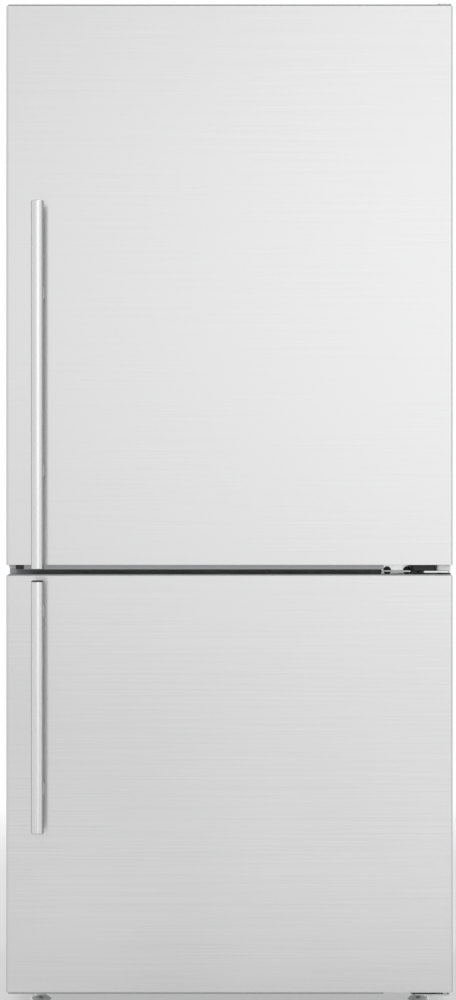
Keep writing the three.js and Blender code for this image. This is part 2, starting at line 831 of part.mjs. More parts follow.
// Magnetic seal: a base held in the door, a narrow neck and a wide magnet pocket, swept round the door.
function doorGasket(door) {
  const near = doorBack + fit;
  const far = front - 2 * fit;
  const layers = [
    [near, near + 2.4, 0], [near + 2.4, near + 5, 5.5], [near + 5, near + 7, 3],
    [near + 7, near + 8.4, 5], [near + 8.4, far, 1],
  ];
  const rings = layers.map(([from, to, inset]) => {
    const outer = sealInset + inset;
    const inner = sealInset + sealWidth - inset;
    const ring = (margin, corner) => roundedRect(
      [margin - side, side - margin], [door.bottom + margin, door.top - margin], corner,
    );
    return cut(
      prism(ring(outer, sealCorner), 'y', from, to, 2), prism(ring(inner, 4), 'y', from - 1, to + 1, 2),
    );
  });
  return join(...rings);
}

// ---------------------------------------------------------------- handles

const barX = barInset - side;
const barY = doorFront - barStandoff;

function handleBar(length) {
  const c = barChamfer;
  return turned(
    [
      [0, 0], [barRadius - c, 0], [barRadius - 0.4 * c, 0.35 * c], [barRadius, c],
      [barRadius, length - c], [barRadius - 0.4 * c, length - 0.35 * c], [barRadius - c, length],
      [0, length],
    ],
    24,
  );
}

// Post between door and bar: an oval stem with a foot, hollowed at its end to seat the bar.
function handlePost() {
  const oval = (margin) => {
    const [u, v] = [postWidth / 2 + margin, postHeight / 2 + margin];
    return roundedRect([-u, u], [-v, v], u - 0.05);
  };
  const end = barStandoff - fit;
  const body = join(prism(oval(0), 'y', 4, end, 5), prism(oval(2), 'y', end - postFoot, end, 5));
  return cut(body, rod(barRadius + fit, 'z', [0, 0], -postHeight, postHeight, 20));
}

function handle(group, prefix, low, length, postRise) {
  place(group, `${prefix}_handle_bar`, handleBar(length), brushedSteel, [barX, barY, low]);
  const z = low + postRise;
  place(group, `${prefix}_handle_post_lower`, handlePost(), zinc, [barX, barY, z]);
  place(group, `${prefix}_handle_post_upper`, handlePost(), zinc, [barX, barY, z + postSpacing]);
}

// ---------------------------------------------------------------- door bins

const binLeft = dykeClearance - fridge.half + dykeWidth + binClearance;
const binRight = hingeX - dykeHingeOffset - dykeWidth - binClearance;
const binWidth = binRight - binLeft;
const binCentre = (binLeft + binRight) / 2;

// Open bin between the dykes of the inner door, with a rolled lip.
function doorBin(reach, height) {
  const depth = hingeY + reach - (doorBack + fit);
  const body = tray({ width: binWidth, depth, height, wall: binWall, taper: 6, corner: 16 });
  const outline = (margin) => roundedRect(
    [margin - binWidth / 2, binWidth / 2 - margin], [margin - depth / 2, depth / 2 - margin], 16 - margin,
  );
  const lip = cut(
    prism(outline(0), 'z', height - lipHeight, height, 2),
    prism(outline(4), 'z', height - lipHeight - 1, height + 1, 2),
  );
  return { body: join(body, lip), y: doorBack + fit + depth / 2 };
}

// Sloped bosses on the dyke's inner walls, under each bin.
function binBosses() {
  const half = binWidth / 2 + binClearance;
  const bosses = [...binRises, dairyRise].map((rise) => ledges(
    half, bossReach, bossHeight, fridge.floor + rise - fit, doorBack - 1, doorBack + dykeReach - 3,
  ));
  return join(...bosses).translate([binCentre, 0, 0]);
}

const dairyPivot = { y: doorBack + 9, z: fridge.floor + dairyRise + dairyHeight + 8 };
const dairyPinRadius = 3;

function dairyBin() {
  const reach = dairyPivot.y + dairyReach - 6 - hingeY;
  return doorBin(reach, dairyHeight);
}

// Flip cover of the dairy bin: a roof with a front flap, on two stub pins.
function dairyCover() {
  const t = 2.5;
  const { y, z } = dairyPivot;
  const end = y + dairyReach;
  const outline = new THREE.Shape();
  outline.moveTo(y - 4, z);
  outline.lineTo(y - 4, z + 4);
  outline.lineTo(end - 14, z + 4);
  outline.absarc(end - 14, z + 4 - 14, 14, Math.PI / 2, 0, true);
  outline.lineTo(end, z - dairyFlap);
  outline.lineTo(end - t, z - dairyFlap);
  outline.lineTo(end - t, z + 4 - 14);
  outline.absarc(end - 14, z + 4 - 14, 14 - t, 0, Math.PI / 2);
  outline.lineTo(y + 4, z + 4 - t);
  outline.lineTo(y + 4, z);
  outline.closePath();
  const pins = rod(dairyPinRadius, 'x', [y, z], binLeft - 5, binRight + 5, 10);
  return join(prism(outline, 'x', binLeft, binRight), pins);
}

function dairyPivots() {
  return rod(dairyPinRadius + 0.4, 'x', [dairyPivot.y, dairyPivot.z], binLeft - 7, binRight + 7, 10);
}

// ---------------------------------------------------------------- fresh food interior

// Glass shelf in a moulded frame, deeper at its front edge. Its underside is at z = 0.
function shelf() {
  const half = fridge.half - 1.5;
  const outer = roundedRect([-half, half], [shelfFront, shelfBack], 8);
  const inner = roundedRect(
    [shelfSide - half, half - shelfSide], [shelfFront + shelfSide, shelfBack - shelfSide], 4,
  );
  const frame = cut(prism(outer, 'z', 0, shelfFrame, 2), prism(inner, 'z', -1, shelfFrame + 1, 2));
  const pane = block(
    [2 - half, half - 2], [shelfFront + 2, shelfBack - 2], [shelfFrame - glass - 1, shelfFrame - 1],
  );
  const nose = prism(
    polygon([shelfFront, -7], [shelfFront + 7, -7], [shelfFront + 10, 1], [shelfFront, 1]),
    'x', ledgeReach + 3 - half, half - ledgeReach - 3,
  );
  return join(frame, pane, nose);
}

const crisperHeight = crisperCoverRise - railHeight + railSheet + fit + crisperFlange - crisperClearance;
const crisperOuter = hingeX - crisperSideClearance;
const crisperInner = 5;
const crisperWidth = crisperOuter - crisperInner;

// Cover of the crispers: a glass shelf with a hanging rail at each side and one in the middle.
function crisperCover() {
  const y = [shelfFront + 12, shelfBack - 12];
  const rails = [-1, 1].map((hand) => {
    const web = [crisperOuter + 4, crisperOuter + 8];
    const foot = [crisperOuter + 4 - railFoot, crisperOuter + 8];
    const flip = (range) => (hand > 0 ? range : [-range[1], -range[0]]);
    return join(
      block(flip(web), y, [-railHeight, 1]), block(flip(foot), y, [-railHeight, railSheet - railHeight]),
    );
  });
  const middle = join(
    block([-2, 2], y, [-railHeight, shelfFrame - glass]),
    block([-crisperInner - 12, crisperInner + 12], y, [-railHeight, railSheet - railHeight]),
  );
  return join(shelf(), ...rails, middle);
}

// Crisper drawer with side flanges that ride on the rails and a grip in its front.
function crisper() {
  const depth = shelfBack - 14 - shelfFront;
  const body = tray({
    width: crisperWidth - 2 * crisperBrim, depth, height: crisperHeight, wall: crisperWall,
    taper: 7, corner: 14,
  });
  const flanges = cut(
    block(
      [-crisperWidth / 2, crisperWidth / 2], [16 - depth / 2, depth / 2 - 16],
      [crisperHeight - crisperFlange, crisperHeight],
    ),
    block([20 - crisperWidth / 2, crisperWidth / 2 - 20], [-depth, depth], [0, crisperHeight + 1]),
  );
  const gripOutline = (margin) => roundedRect(
    [-gripWidth / 2 - margin, gripWidth / 2 + margin],
    [crisperHeight - gripDrop - gripHeight - margin, crisperHeight - gripDrop + margin], 9 + margin / 2,
  );
  const grip = prism(gripOutline(0), 'y', -depth, -depth / 2 + 9.5);
  const sleeve = prism(gripOutline(6), 'y', -depth / 2 + 0.5, -depth / 2 + 12);
  return join(cut(join(body, sleeve), grip), flanges);
}

// Air duct cover on the rear wall, open behind, with a column of slots.
function fridgeDuctCover() {
  const high = fridge.top - ductDrop;
  const low = high - ductHeight;
  const [near, far] = [fridge.back - ductDepth, fridge.back - fit];
  const half = ductWidth / 2;
  const shell = cut(
    prism(roundedRect([-half, half], [low, high], 14), 'y', near, far, 3),
    prism(roundedRect([3 - half, half - 3], [low + 3, high - 3], 11), 'y', near + 3, far + 1, 3),
  );
  const slots = [];
  for (const share of [0.15, 0.42, 0.68, 0.9]) {
    for (const offset of [0, 12]) {
      const z = low + share * ductHeight + offset;
      slots.push(block([ductSlotInset - half, half - ductSlotInset], [near - 1, near + 4], [z, z + 5]));
    }
  }
  return cut(shell, ...slots);
}

const housingFront = shelfFront + housingSetback;

// Control housing under the ceiling, with a sloped face.
function controlHousing() {
  const high = fridge.top - fit;
  const low = high - housingHeight;
  const outline = polygon(
    [housingFront, high], [housingFront, low + 4], [housingFront + 4, low],
    [housingFront + housingDepth - 16, low], [housingFront + housingDepth, high],
  );
  const half = housingWidth / 2;
  return prism(outline, 'x', -half, half);
}

function temperatureDial() {
  const r = dialRadius;
  const knob = turned([
    [0, 0], [r, 0], [r, 3], [r - 2.5, 4], [r - 3.5, dialDepth - 2], [r - 5.5, dialDepth], [0, dialDepth],
  ], 18);
  const grip = block([-2.5, 2.5], [1.5 - r, r - 1.5], [3, dialDepth]);
  return join(knob, grip).rotate([90, 0, 0]);
}

function lightLens() {
  const high = fridge.top - housingHeight - 2 * fit;
  const left = lensInset - housingWidth / 2;
  const near = housingFront + lensInset;
  const outline = (margin) => roundedRect(
    [left + margin, left + lensWidth - margin], [near + margin, near + lensDepth - margin], 12 - margin,
  );
  const inside = prism(outline(lensWall), 'z', high - lensHeight + lensWall, high + 1);
  return cut(prism(outline(0), 'z', high - lensHeight, high), inside);
}

// ---------------------------------------------------------------- freezer interior

const drawerHalf = hingeX - drawerSideClearance;

// Freezer drawer: wide front with a grip ledge, tapered body and flanges that ride on the ledges.
function freezerDrawer(rear) {
  const pitch = (freezer.top - freezer.floor) / 3;
  const height = pitch - drawerGap;
  const near = hingeY + drawerSetback;
  const depth = rear - drawerRearClearance - near - drawerFront;
  const bodyHalf = drawerHalf - drawerFlange;
  const body = tray({
    width: 2 * bodyHalf, depth, height: drawerBody, wall: drawerWall, taper: 8, corner: 14,
  }).translate([0, near + drawerFront + depth / 2 - 1, drawerRim - drawerBody + 3]);
  const outline = roundedRect([-drawerHalf, drawerHalf], [0, height], 10);
  const face = prism(outline, 'y', near, near + drawerFront, 3);
  const flanges = cut(
    block(
      [-drawerHalf, drawerHalf], [near + drawerFront - 1, near + drawerFront + depth - 16],
      [drawerRim, drawerRim + 3],
    ),
    block([2 - bodyHalf, bodyHalf - 2], [near, near + drawerFront + depth], [drawerRim - 9, drawerRim + 9]),
  );
  const pull = prism(
    roundedRect([-pullWidth / 2, pullWidth / 2], [height - pullDrop - pullHeight, height - pullDrop], 10),
    'y', near - 1, near + drawerFront - drawerWall, 3,
  );
  const inside = block(
    [drawerWall + 14 - bodyHalf, bodyHalf - 14 - drawerWall],
    [near + drawerFront + 0.01, near + drawerFront + 4],
    [drawerRim - drawerBody + drawerSill, drawerRim + 8],
  );
  return cut(join(cut(join(body, face), inside), flanges), pull);
}

// Rear freezer wall with a fan grille above and a return slot below.
function freezerBackPanel() {
  const half = freezer.half - fit;
  const [near, far] = [freezerPanel, freezerPanel + panelSheet];
  const fan = fanPlace();
  const through = [near - 1, far + 1];
  let panel = block([-half, half], [near, far], [stepFloor + fit, freezer.top - fit]);
  for (let row = -2; row <= 2; row += 1) {
    const reach = Math.sqrt((evaporatorFanRadius - 2) ** 2 - (row * grillePitch) ** 2);
    const middle = fan.z + row * grillePitch;
    const z = [middle - grillePitch / 4, middle + grillePitch / 4];
    panel = cut(panel, block([-reach, -grilleHub], through, z), block([grilleHub, reach], through, z));
  }
  for (let column = -3; column <= 3; column += 1) {
    const x = column * (ventWidth + ventWeb);
    const z = [stepFloor + ventRise, stepFloor + ventRise + ventHeight];
    panel = cut(panel, block([x - ventWidth / 2, x + ventWidth / 2], through, z));
  }
  const shroud = cut(
    rod(evaporatorFanRadius + 6, 'y', [fan.x, fan.z], far - 1, far + fanCollar, 18),
    rod(evaporatorFanRadius + 3, 'y', [fan.x, fan.z], far, far + fanCollar + 1, 18),
  );
  const shaft = rod(shaftRadius, 'y', [fan.x, fan.z], far - 1, far + 16, 10);
  return join(panel, shroud, shaft);
}

function fanPlace() {
  return { x: 0, y: freezerPanel + evaporatorFanSetback, z: freezer.top - evaporatorFanDrop };
}

// Fan with pitched blades around a hub that has a bore for its shaft. The axis is Z before placing.
function fan(radius, blades, hubRadius, bore) {
  const hub = turned([
    [bore, -8], [hubRadius - 1.5, -8], [hubRadius, -6], [hubRadius, 7], [hubRadius - 2, 9], [bore, 9],
    [bore, -8],
  ], 14);
  const span = radius - hubRadius;
  const outline = new THREE.Shape();
  outline.moveTo(hubRadius - 2, -7);
  outline.quadraticCurveTo(hubRadius + 0.5 * span, -15, radius, -11);
  outline.quadraticCurveTo(radius + 1, 4, radius - 5, 13);
  outline.quadraticCurveTo(hubRadius + 0.5 * span, 12, hubRadius - 2, 7);
  outline.closePath();
  const vane = prism(outline, 'z', -0.8, 0.8, 8).rotate([28, 0, 0]);
  const all = [hub];
  for (let i = 0; i < blades; i += 1) all.push(vane.rotate([0, 0, (360 / blades) * i]));
  return join(...all);
}

// Finned evaporator: tube passes and a defrost heater through a row of plates. The end plates are
// longer and stand on the step of the liner.
function evaporator() {
  const half = freezer.half - evaporatorInset;
  const y = [freezerPanel + 14, freezer.back - 10];
  const low = stepFloor + evaporatorLift;
  const plates = [];
  for (let i = 0; i <= evaporatorFins; i += 1) {
    const x = -half + (i * 2 * half) / evaporatorFins;
    const end = i === 0 || i === evaporatorFins;
    plates.push(block([x - 0.7, x + 0.7], y, [end ? stepFloor + fit : low, low + evaporatorHeight]));
  }
  const middle = (y[0] + y[1]) / 2;
  const rises = [-0.08, 0.28, 0.72].map((share) => share * evaporatorHeight);
  const tubes = rises.map((rise) => rod(4, 'x', [middle, low + rise], -half - 8, half + 8, 6));
  return join(...plates, ...tubes);
}

// ---------------------------------------------------------------- compressor compartment

const machineFloor = panTop + fit;
const panPlace = { x: side - panInset, y: back - rollerSetback - rollerRadius - 6 - panDepth / 2 };

// Hermetic compressor: welded dome shell on a mounting plate with four feet and a terminal box.
function compressor() {
  const r = compressorRadius;
  const h = compressorHeight;
  const seam = 0.53 * h;
  const shell = turned([
    [0, mountHeight + 2], [0.78 * r, mountHeight + 2], [0.95 * r, 0.13 * h], [r, 0.24 * h], [r, seam],
    [r + 3, seam + 2], [r + 3, seam + 5], [r, seam + 7], [0.99 * r, 0.7 * h], [0.89 * r, 0.85 * h],
    [0.65 * r, 0.94 * h], [0.32 * r, 0.99 * h], [0, h],
  ], 16);
  const plate = block([-1.25 * r, 1.25 * r], [-0.84 * r, 0.84 * r], [mountHeight, mountHeight + 4]);
  const feet = [];
  for (const x of [-1.08 * r, 1.08 * r]) {
    for (const y of [-0.68 * r, 0.68 * r]) feet.push(rod(0.15 * r, 'z', [x, y], 0, mountHeight + 8, 8));
  }
  const box = prism(roundedRect([0.9 * r, 1.38 * r], [0.28 * h, 0.64 * h], 6), 'y', -0.4 * r, 0.4 * r);
  const pipe = rod(4, 'z', [-0.54 * r, 0.54 * r], 0.6 * h, h + 8, 8);
  return join(shell, plate, ...feet, box, pipe);
}

// One tube bent back and forth in two layers, held by a strap at each side.
function condenserCoil() {
  const half = panWidth / 2 - coilInset;
  const [pitch, passes] = [coilPitch, coilPasses];
  const path = new THREE.CurvePath();
  const at = (x, z) => new THREE.Vector3(x, 0, z);
  for (let i = 0; i < passes; i += 1) {
    const hand = i % 2 ? -1 : 1;
    const z = i * pitch;
    path.add(new THREE.LineCurve3(at(-hand * half, z), at(hand * half, z)));
    if (i < passes - 1) {
      const bulge = hand * (half + pitch * 0.66);
      path.add(new THREE.CubicBezierCurve3(
        at(hand * half, z), at(bulge, z), at(bulge, z + pitch), at(hand * half, z + pitch),
      ));
    }
  }
  const section = new THREE.Shape();
  section.absarc(0, 0, coilTube, 0, 2 * Math.PI);
  const sweep = { steps: 40, extrudePath: path, curveSegments: 2.5, bevelEnabled: false };
  const tube = solid(new THREE.ExtrudeGeometry(section, sweep));
  const straps = [-2 / 3, 2 / 3].map((share) => (
    block([share * half - 7, share * half + 7], [-2, 2], [-6, (passes - 1) * pitch + 6])
  ));
  const feet = block([-0.83 * half, 0.83 * half], [-16, 16], [-coilSole, 4 - coilSole]);
  return join(tube, ...straps, feet);
}

const condenserFan = {
  x: panPlace.x - panWidth / 2 - 2 * shroudThickness,
  y: back - machineDepth / 2 + 4,
  z: machineFloor + condenserFanRadius + 2 * shroudMargin,
};

// Square fan frame with a round mouth and four arms that hold the motor and its shaft.
function condenserFanShroud() {
  const { x, y, z } = condenserFan;
  const half = condenserFanRadius + shroudMargin;
  const deep = shroudThickness / 2;
  const plate = cut(
    block([x - deep, x + deep], [y - half, y + half], [machineFloor, z + half]),
    rod(condenserFanRadius + 5, 'x', [y, z], x - deep - 1, x + deep + 1, 28),
  );
  const arms = [0, 90].map((angle) => {
    const arm = block([deep + 2, deep + 6], [-half, half], [-5, 5]).rotate([angle + 45, 0, 0]);
    return arm.translate([x, y, z]);
  });
  const posts = [45, 135, 225, 315].map((angle) => (
    block([deep - 2, deep + 6], [half - 6, half], [-5, 5]).rotate([angle, 0, 0]).translate([x, y, z])
  ));
  const motor = rod(motorRadius, 'x', [y, z], x + deep + 2, x + deep + 2 + motorLength, 20);
  const shaft = rod(shaftRadius, 'x', [y, z], x + 2 - deep, x + deep + 3, 10);
  return join(plate, ...arms, ...posts, motor, shaft);
}

function drainPan() {
  return tray({ width: panWidth, depth: panDepth, height: panHeight, wall: panWall, taper: 5, corner: 14 });
}

// Rear cover of the compartment, with louvre slots and the moulded gland for the cord.
function machineCover() {
  const half = side - skin - panSheet - 2 * fit;
  const y = [back - coverRecess - coverSheet, back - coverRecess];
  const low = panTop + fit;
  let cover = block([-half, half], y, [low, machineTop - panSheet - fit]);
  for (let row = 0; row < louvreRows; row += 1) {
    for (const column of [-1, 0, 1]) {
      const x = column * louvrePitch - louvreShift;
      const z = low + louvreRise + row * louvreStep;
      cover = cut(
        cover, block([x - louvreWidth / 2, x + louvreWidth / 2], [y[0] - 1, y[1] + 1], [z, z + louvreSlot]),
      );
    }
  }
  const place = [side - glandInset, low + glandRise];
  const gland = join(
    rod(glandRadius + 3, 'y', place, y[1] - 1, y[1] + 3, 16),
    rod(glandRadius, 'y', place, y[1] - 1, back - 1, 16),
  );
  return cut(join(cover, gland), rod(glandBore, 'y', place, y[0] - 1, back, 12));
}

// ---------------------------------------------------------------- feet and rollers

function levellingFoot() {
  const r = footRadius;
  return turned([
    [0, 0], [r, 0], [r, 3], [r - 3, 6], [10, 9], [10, 17],
    [studRadius, 18], [studRadius, studLength], [0, studLength],
  ], 16);
}

function roller() {
  const bore = axleRadius + fit;
  const half = rollerWidth / 2 - 0.5;
  const r = rollerRadius;
  return turned([
    [bore, -half], [8, -half], [9, 2 - half], [r - 5, 2 - half], [r - 4, -half], [r, 1 - half],
    [r, half - 1], [r - 4, half], [bore, half], [bore, -half],
  ], 18).rotate([0, 90, 0]);
}

// ---------------------------------------------------------------- assembly

function buildCabinet() {
  place(cabinet, 'outer_wrapper', outerWrapper(), cabinetPaint);
  place(cabinet, 'back_panel', backPanel(), cabinetPaint);
  place(cabinet, 'base_pan', basePan(), zinc);
  place(cabinet, 'insulation_foam', insulationFoam(), foamYellow);
  place(cabinet, 'fridge_liner', fridgeLiner(), whitePlastic);
  place(cabinet, 'freezer_liner', freezerLiner(), whitePlastic);
  place(cabinet, 'front_crossrail', frontCrossrail(), darkPaint);
  place(cabinet, 'top_hinge_bracket', topHingeBracket(), zinc);
  place(cabinet, 'top_hinge_cover', topHingeCover(), greyPlastic);
  place(cabinet, 'middle_hinge_bracket', middleHingeBracket(), zinc);
  place(cabinet, 'bottom_hinge_bracket', bottomHingeBracket(), zinc);
  for (const [hand, word] of [[-1, 'left'], [1, 'right']]) {
    place(cabinet, `foot_${word}`, levellingFoot(), zinc, [...footPlace(hand), 0]);
    const x = hand * (side - rollerInset);
    place(cabinet, `roller_${word}`, roller(), blackPlastic, [x, back - rollerSetback, rollerRadius]);
  }
}

function buildMachineRoom() {
  const y = condenserFan.y;
  place(cabinet, 'compressor', compressor(), blackSteel, [compressorInset - side, y, machineFloor]);
  place(cabinet, 'drain_pan', drainPan(), blackPlastic, [panPlace.x, panPlace.y, machineFloor]);
  const coilRise = machineFloor + panWall + fit + coilSole;
  place(cabinet, 'condenser_coil', condenserCoil(), blackSteel, [panPlace.x, panPlace.y, coilRise]);
  place(cabinet, 'condenser_fan_shroud', condenserFanShroud(), greyPlastic);
  const blade = fan(condenserFanRadius, 5, 17, shaftRadius + fit).rotate([0, 90, 0]);
  place(cabinet, 'condenser_fan_blade', blade, blackPlastic, [condenserFan.x, y, condenserFan.z]);
  place(cabinet, 'machine_cover', machineCover(), darkPaint);
}

function buildFridgeInterior() {
  const seat = (rise) => [0, 0, fridge.floor + rise];
  place(cabinet, 'fridge_duct_cover', fridgeDuctCover(), whitePlastic);
  place(cabinet, 'control_housing', controlHousing(), whitePlastic);
  const dialZ = fridge.top - fit - housingHeight / 2;
  const dialX = housingWidth / 2 - dialInset;
  place(cabinet, 'temperature_dial', temperatureDial(), greyPlastic, [dialX, housingFront - fit, dialZ]);
  place(cabinet, 'light_lens', lightLens(), clearPlastic);
  ['lower', 'middle', 'upper'].forEach((word, i) => {
    place(cabinet, `shelf_${word}`, shelf(), shelfGlass, seat(shelfRises[i]));
  });
  place(cabinet, 'crisper_cover', crisperCover(), shelfGlass, seat(crisperCoverRise));
  const y = (shelfFront + shelfBack - 14) / 2;
  const z = fridge.floor + crisperClearance;
  for (const [hand, word] of [[-1, 'left'], [1, 'right']]) {
    const x = hand * (crisperInner + crisperWidth / 2);
    place(cabinet, `crisper_${word}`, crisper(), clearPlastic, [x, y, z]);
  }
}

function buildFreezerInterior() {
  place(cabinet, 'freezer_back_panel', freezerBackPanel(), whitePlastic);
  place(cabinet, 'evaporator', evaporator(), aluminium);
  const { x, y, z } = fanPlace();
  const blade = fan(evaporatorFanRadius, 4, 14, shaftRadius + fit).rotate([90, 0, 0]);
  place(cabinet, 'evaporator_fan', blade, blackPlastic, [x, y, z]);
  ['bottom', 'middle', 'top'].forEach((word, level) => {
    const rear = level ? freezerPanel : stepFront;
    place(cabinet, `freezer_drawer_${word}`, freezerDrawer(rear), clearPlastic, [0, 0, drawerPlace(level)]);
  });
}

function buildDoors() {
  const plain = { left: 3, right: 3 };
  place(fridgeDoor, 'fridge_door_panel', doorPanel(upperDoor, upperBottomRim), brushedSteel);
  const upperLiner = cut(join(doorLiner(upperDoor, upperBottomRim, fridge), binBosses()), dairyPivots());
  place(fridgeDoor, 'fridge_door_liner', upperLiner, whitePlastic);
  place(fridgeDoor, 'fridge_door_gasket', doorGasket(upperDoor), sealRubber);
  place(fridgeDoor, 'fridge_door_top_cap', doorCap(upperDoor, 'top', plainRim, plain), greyPlastic);
  const notches = { left: capNotch, right: hingeNotch };
  place(
    fridgeDoor, 'fridge_door_bottom_cap', doorCap(upperDoor, 'bottom', upperBottomRim, notches), greyPlastic,
  );
  place(freezerDoor, 'freezer_door_panel', doorPanel(lowerDoor, plainRim), brushedSteel);
  place(freezerDoor, 'freezer_door_liner', doorLiner(lowerDoor, plainRim, freezer), whitePlastic);
  place(freezerDoor, 'freezer_door_gasket', doorGasket(lowerDoor), sealRubber);
  place(freezerDoor, 'freezer_door_top_cap', doorCap(lowerDoor, 'top', plainRim, plain), greyPlastic);
  const lowCap = doorCap(lowerDoor, 'bottom', plainRim, { left: 3, right: hingeNotch });
  place(freezerDoor, 'freezer_door_bottom_cap', lowCap, greyPlastic);

  const plateTop = middlePlate + plateThickness;
  const closerTop = upperDoor.bottom + upperBottomRim;
  place(fridgeDoor, 'fridge_door_closer', closer(plateTop, closerTop, lowerDoor.top + 0.6), blackPlastic);
  const lowCloser = closer(bottomPlate + bottomPlateThickness, lowerDoor.bottom + plainRim);
  place(freezerDoor, 'freezer_door_closer', lowCloser, blackPlastic);

  const upperBar = upperDoor.bottom + upperBarRise;
  handle(fridgeDoor, 'fridge', upperBar, upperBarLength, upperPostRise);
  const lowerBar = lowerDoor.top - lowerBarDrop - lowerBarLength;
  handle(freezerDoor, 'freezer', lowerBar, lowerBarLength, lowerPostRise);
}

function buildDoorBins() {
  const words = ['lower', 'middle', 'upper'];
  binRises.forEach((rise, i) => {
    const { body, y } = doorBin(binReach, binHeight);
    place(fridgeDoor, `door_bin_${words[i]}`, body, clearPlastic, [binCentre, y, fridge.floor + rise]);
  });
  const { body, y } = dairyBin();
  place(fridgeDoor, 'dairy_bin', body, clearPlastic, [binCentre, y, fridge.floor + dairyRise]);
  place(fridgeDoor, 'dairy_cover', dairyCover(), clearPlastic);
}

buildCabinet();
buildMachineRoom();
buildFridgeInterior();
buildFreezerInterior();
buildDoors();
buildDoorBins();

export default refrigerator;
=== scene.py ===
"""Bottom freezer refrigerator: its looks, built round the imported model.

Metres, +Z up, doors toward -Y. Sizes and places come from the frame's boxes and from the values below.
"""

import json
import math

import bmesh
import bpy
from mathutils import Matrix, Vector


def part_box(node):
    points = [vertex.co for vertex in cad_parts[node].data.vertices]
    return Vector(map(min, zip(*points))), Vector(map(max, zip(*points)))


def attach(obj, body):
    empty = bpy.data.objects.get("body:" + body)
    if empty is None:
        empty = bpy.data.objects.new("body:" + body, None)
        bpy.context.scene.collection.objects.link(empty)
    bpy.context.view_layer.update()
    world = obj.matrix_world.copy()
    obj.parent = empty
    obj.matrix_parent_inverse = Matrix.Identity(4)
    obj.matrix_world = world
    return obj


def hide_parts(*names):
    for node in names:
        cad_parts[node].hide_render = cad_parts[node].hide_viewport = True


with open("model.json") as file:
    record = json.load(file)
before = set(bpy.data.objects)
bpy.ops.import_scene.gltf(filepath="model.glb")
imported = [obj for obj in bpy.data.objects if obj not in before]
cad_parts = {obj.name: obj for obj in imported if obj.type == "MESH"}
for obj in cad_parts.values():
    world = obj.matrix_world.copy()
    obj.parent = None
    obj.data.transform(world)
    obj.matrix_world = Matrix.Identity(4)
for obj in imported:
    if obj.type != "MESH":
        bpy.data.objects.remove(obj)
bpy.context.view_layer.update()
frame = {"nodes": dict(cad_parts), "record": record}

BEHAVIOUR = frame["record"]["behaviour"]
BODY = {node: body for body, members in BEHAVIOUR["bodies"].items() for node in members}
SLOT = {row["node"]: row["material_slot"] for row in frame["record"]["subparts"]}
PIVOT = {row["name"]: row.get("pos_m") for row in BEHAVIOUR["joints"]}


def box(node):
    """Low corner, high corner and middle of a CAD node."""
    low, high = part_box(node)
    return low, high, (low + high) / 2


def add_object(name, data):
    """Makes an object and puts it in the scene."""
    obj = bpy.data.objects.new(name, data)
    bpy.context.scene.collection.objects.link(obj)
    return obj


def add_mesh(name, bm):
    """Makes an object from a bmesh, which is used up."""
    mesh = bpy.data.meshes.new(name)
    bm.to_mesh(mesh)
    bm.free()
    return add_object(name, mesh)


def add_node(tree, kind, values=None, operation=None):
    """Adds a shader node with its operation and its input values."""
    node = tree.nodes.new("ShaderNode" + kind)
    if operation:
        node.operation = operation
    for socket, value in (values or {}).items():
        node.inputs[socket].default_value = value
    return node


# ---------------------------------------------------------------- camera and lamps

DOOR_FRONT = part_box("fridge_door_panel")[0].y
EYE_SIDE = -0.0025
EYE_HEIGHT = 0.868
EYE_DISTANCE = 4.5
VIEW_HEIGHT = 1.693  # seen at the doors' plane
SENSOR = 36.0  # along the image's long side
LAMP_SIZE = 3.0


def make_camera():
    """Camera that looks level and straight at the doors."""
    data = bpy.data.cameras.new("camera")
    data.sensor_width = SENSOR
    data.lens = SENSOR * EYE_DISTANCE / VIEW_HEIGHT
    camera = add_object("camera", data)
    camera.location = (EYE_SIDE, DOOR_FRONT - EYE_DISTANCE, EYE_HEIGHT)
    camera.rotation_euler = (math.radians(90), 0, 0)
    bpy.context.scene.camera = camera


def make_lamp(name, place, target, power):
    """Large square lamp that faces its target."""
    data = bpy.data.lights.new(name, "AREA")
    data.size = LAMP_SIZE
    data.energy = power
    lamp = add_object(name, data)
    lamp.location = place
    lamp.rotation_euler = (Vector(target) - Vector(place)).to_track_quat("-Z", "Y").to_euler()


# ---------------------------------------------------------------- studio

BRIGHT_SIDE = (0.26, -0.96, 0.07)  # the studio's brightest part is in front, to the right
PEAK = 2.0  # the background's strength, which keeps the levels in its ramp under 1

# Pairs of a place and the light there. A place is 0 opposite the bright side and 1 at it.
LIGHT = ((0.0, 1.0), (0.3, 0.96), (0.45, 0.78), (0.6, 0.78), (0.8, 0.9),
         (0.94, 0.98), (0.965, 1.12), (0.985, 1.33), (0.998, 1.5))
FRONT = (0.82, 0.93)  # between these places the change with height sets in

# Pairs of a height and a factor. A height is 0 straight down, 0.5 level and 1 straight up.
BY_HEIGHT = ((0.3, 0.5), (0.42, 0.56), (0.48, 0.88), (0.53, 1.22),
             (0.56, 1.1), (0.6, 0.84), (0.68, 0.67), (1.0, 0.8))


def grey_ramp(tree, levels):
    """Ramp through greys, from pairs of a position and a level."""
    ramp = add_node(tree, "ValToRGB")
    stops = ramp.color_ramp.elements
    while len(stops) < len(levels):
        stops.new(0.5)
    for stop, (where, level) in zip(stops, levels):
        stop.position = where
        stop.color = (level, level, level, 1)
    return ramp


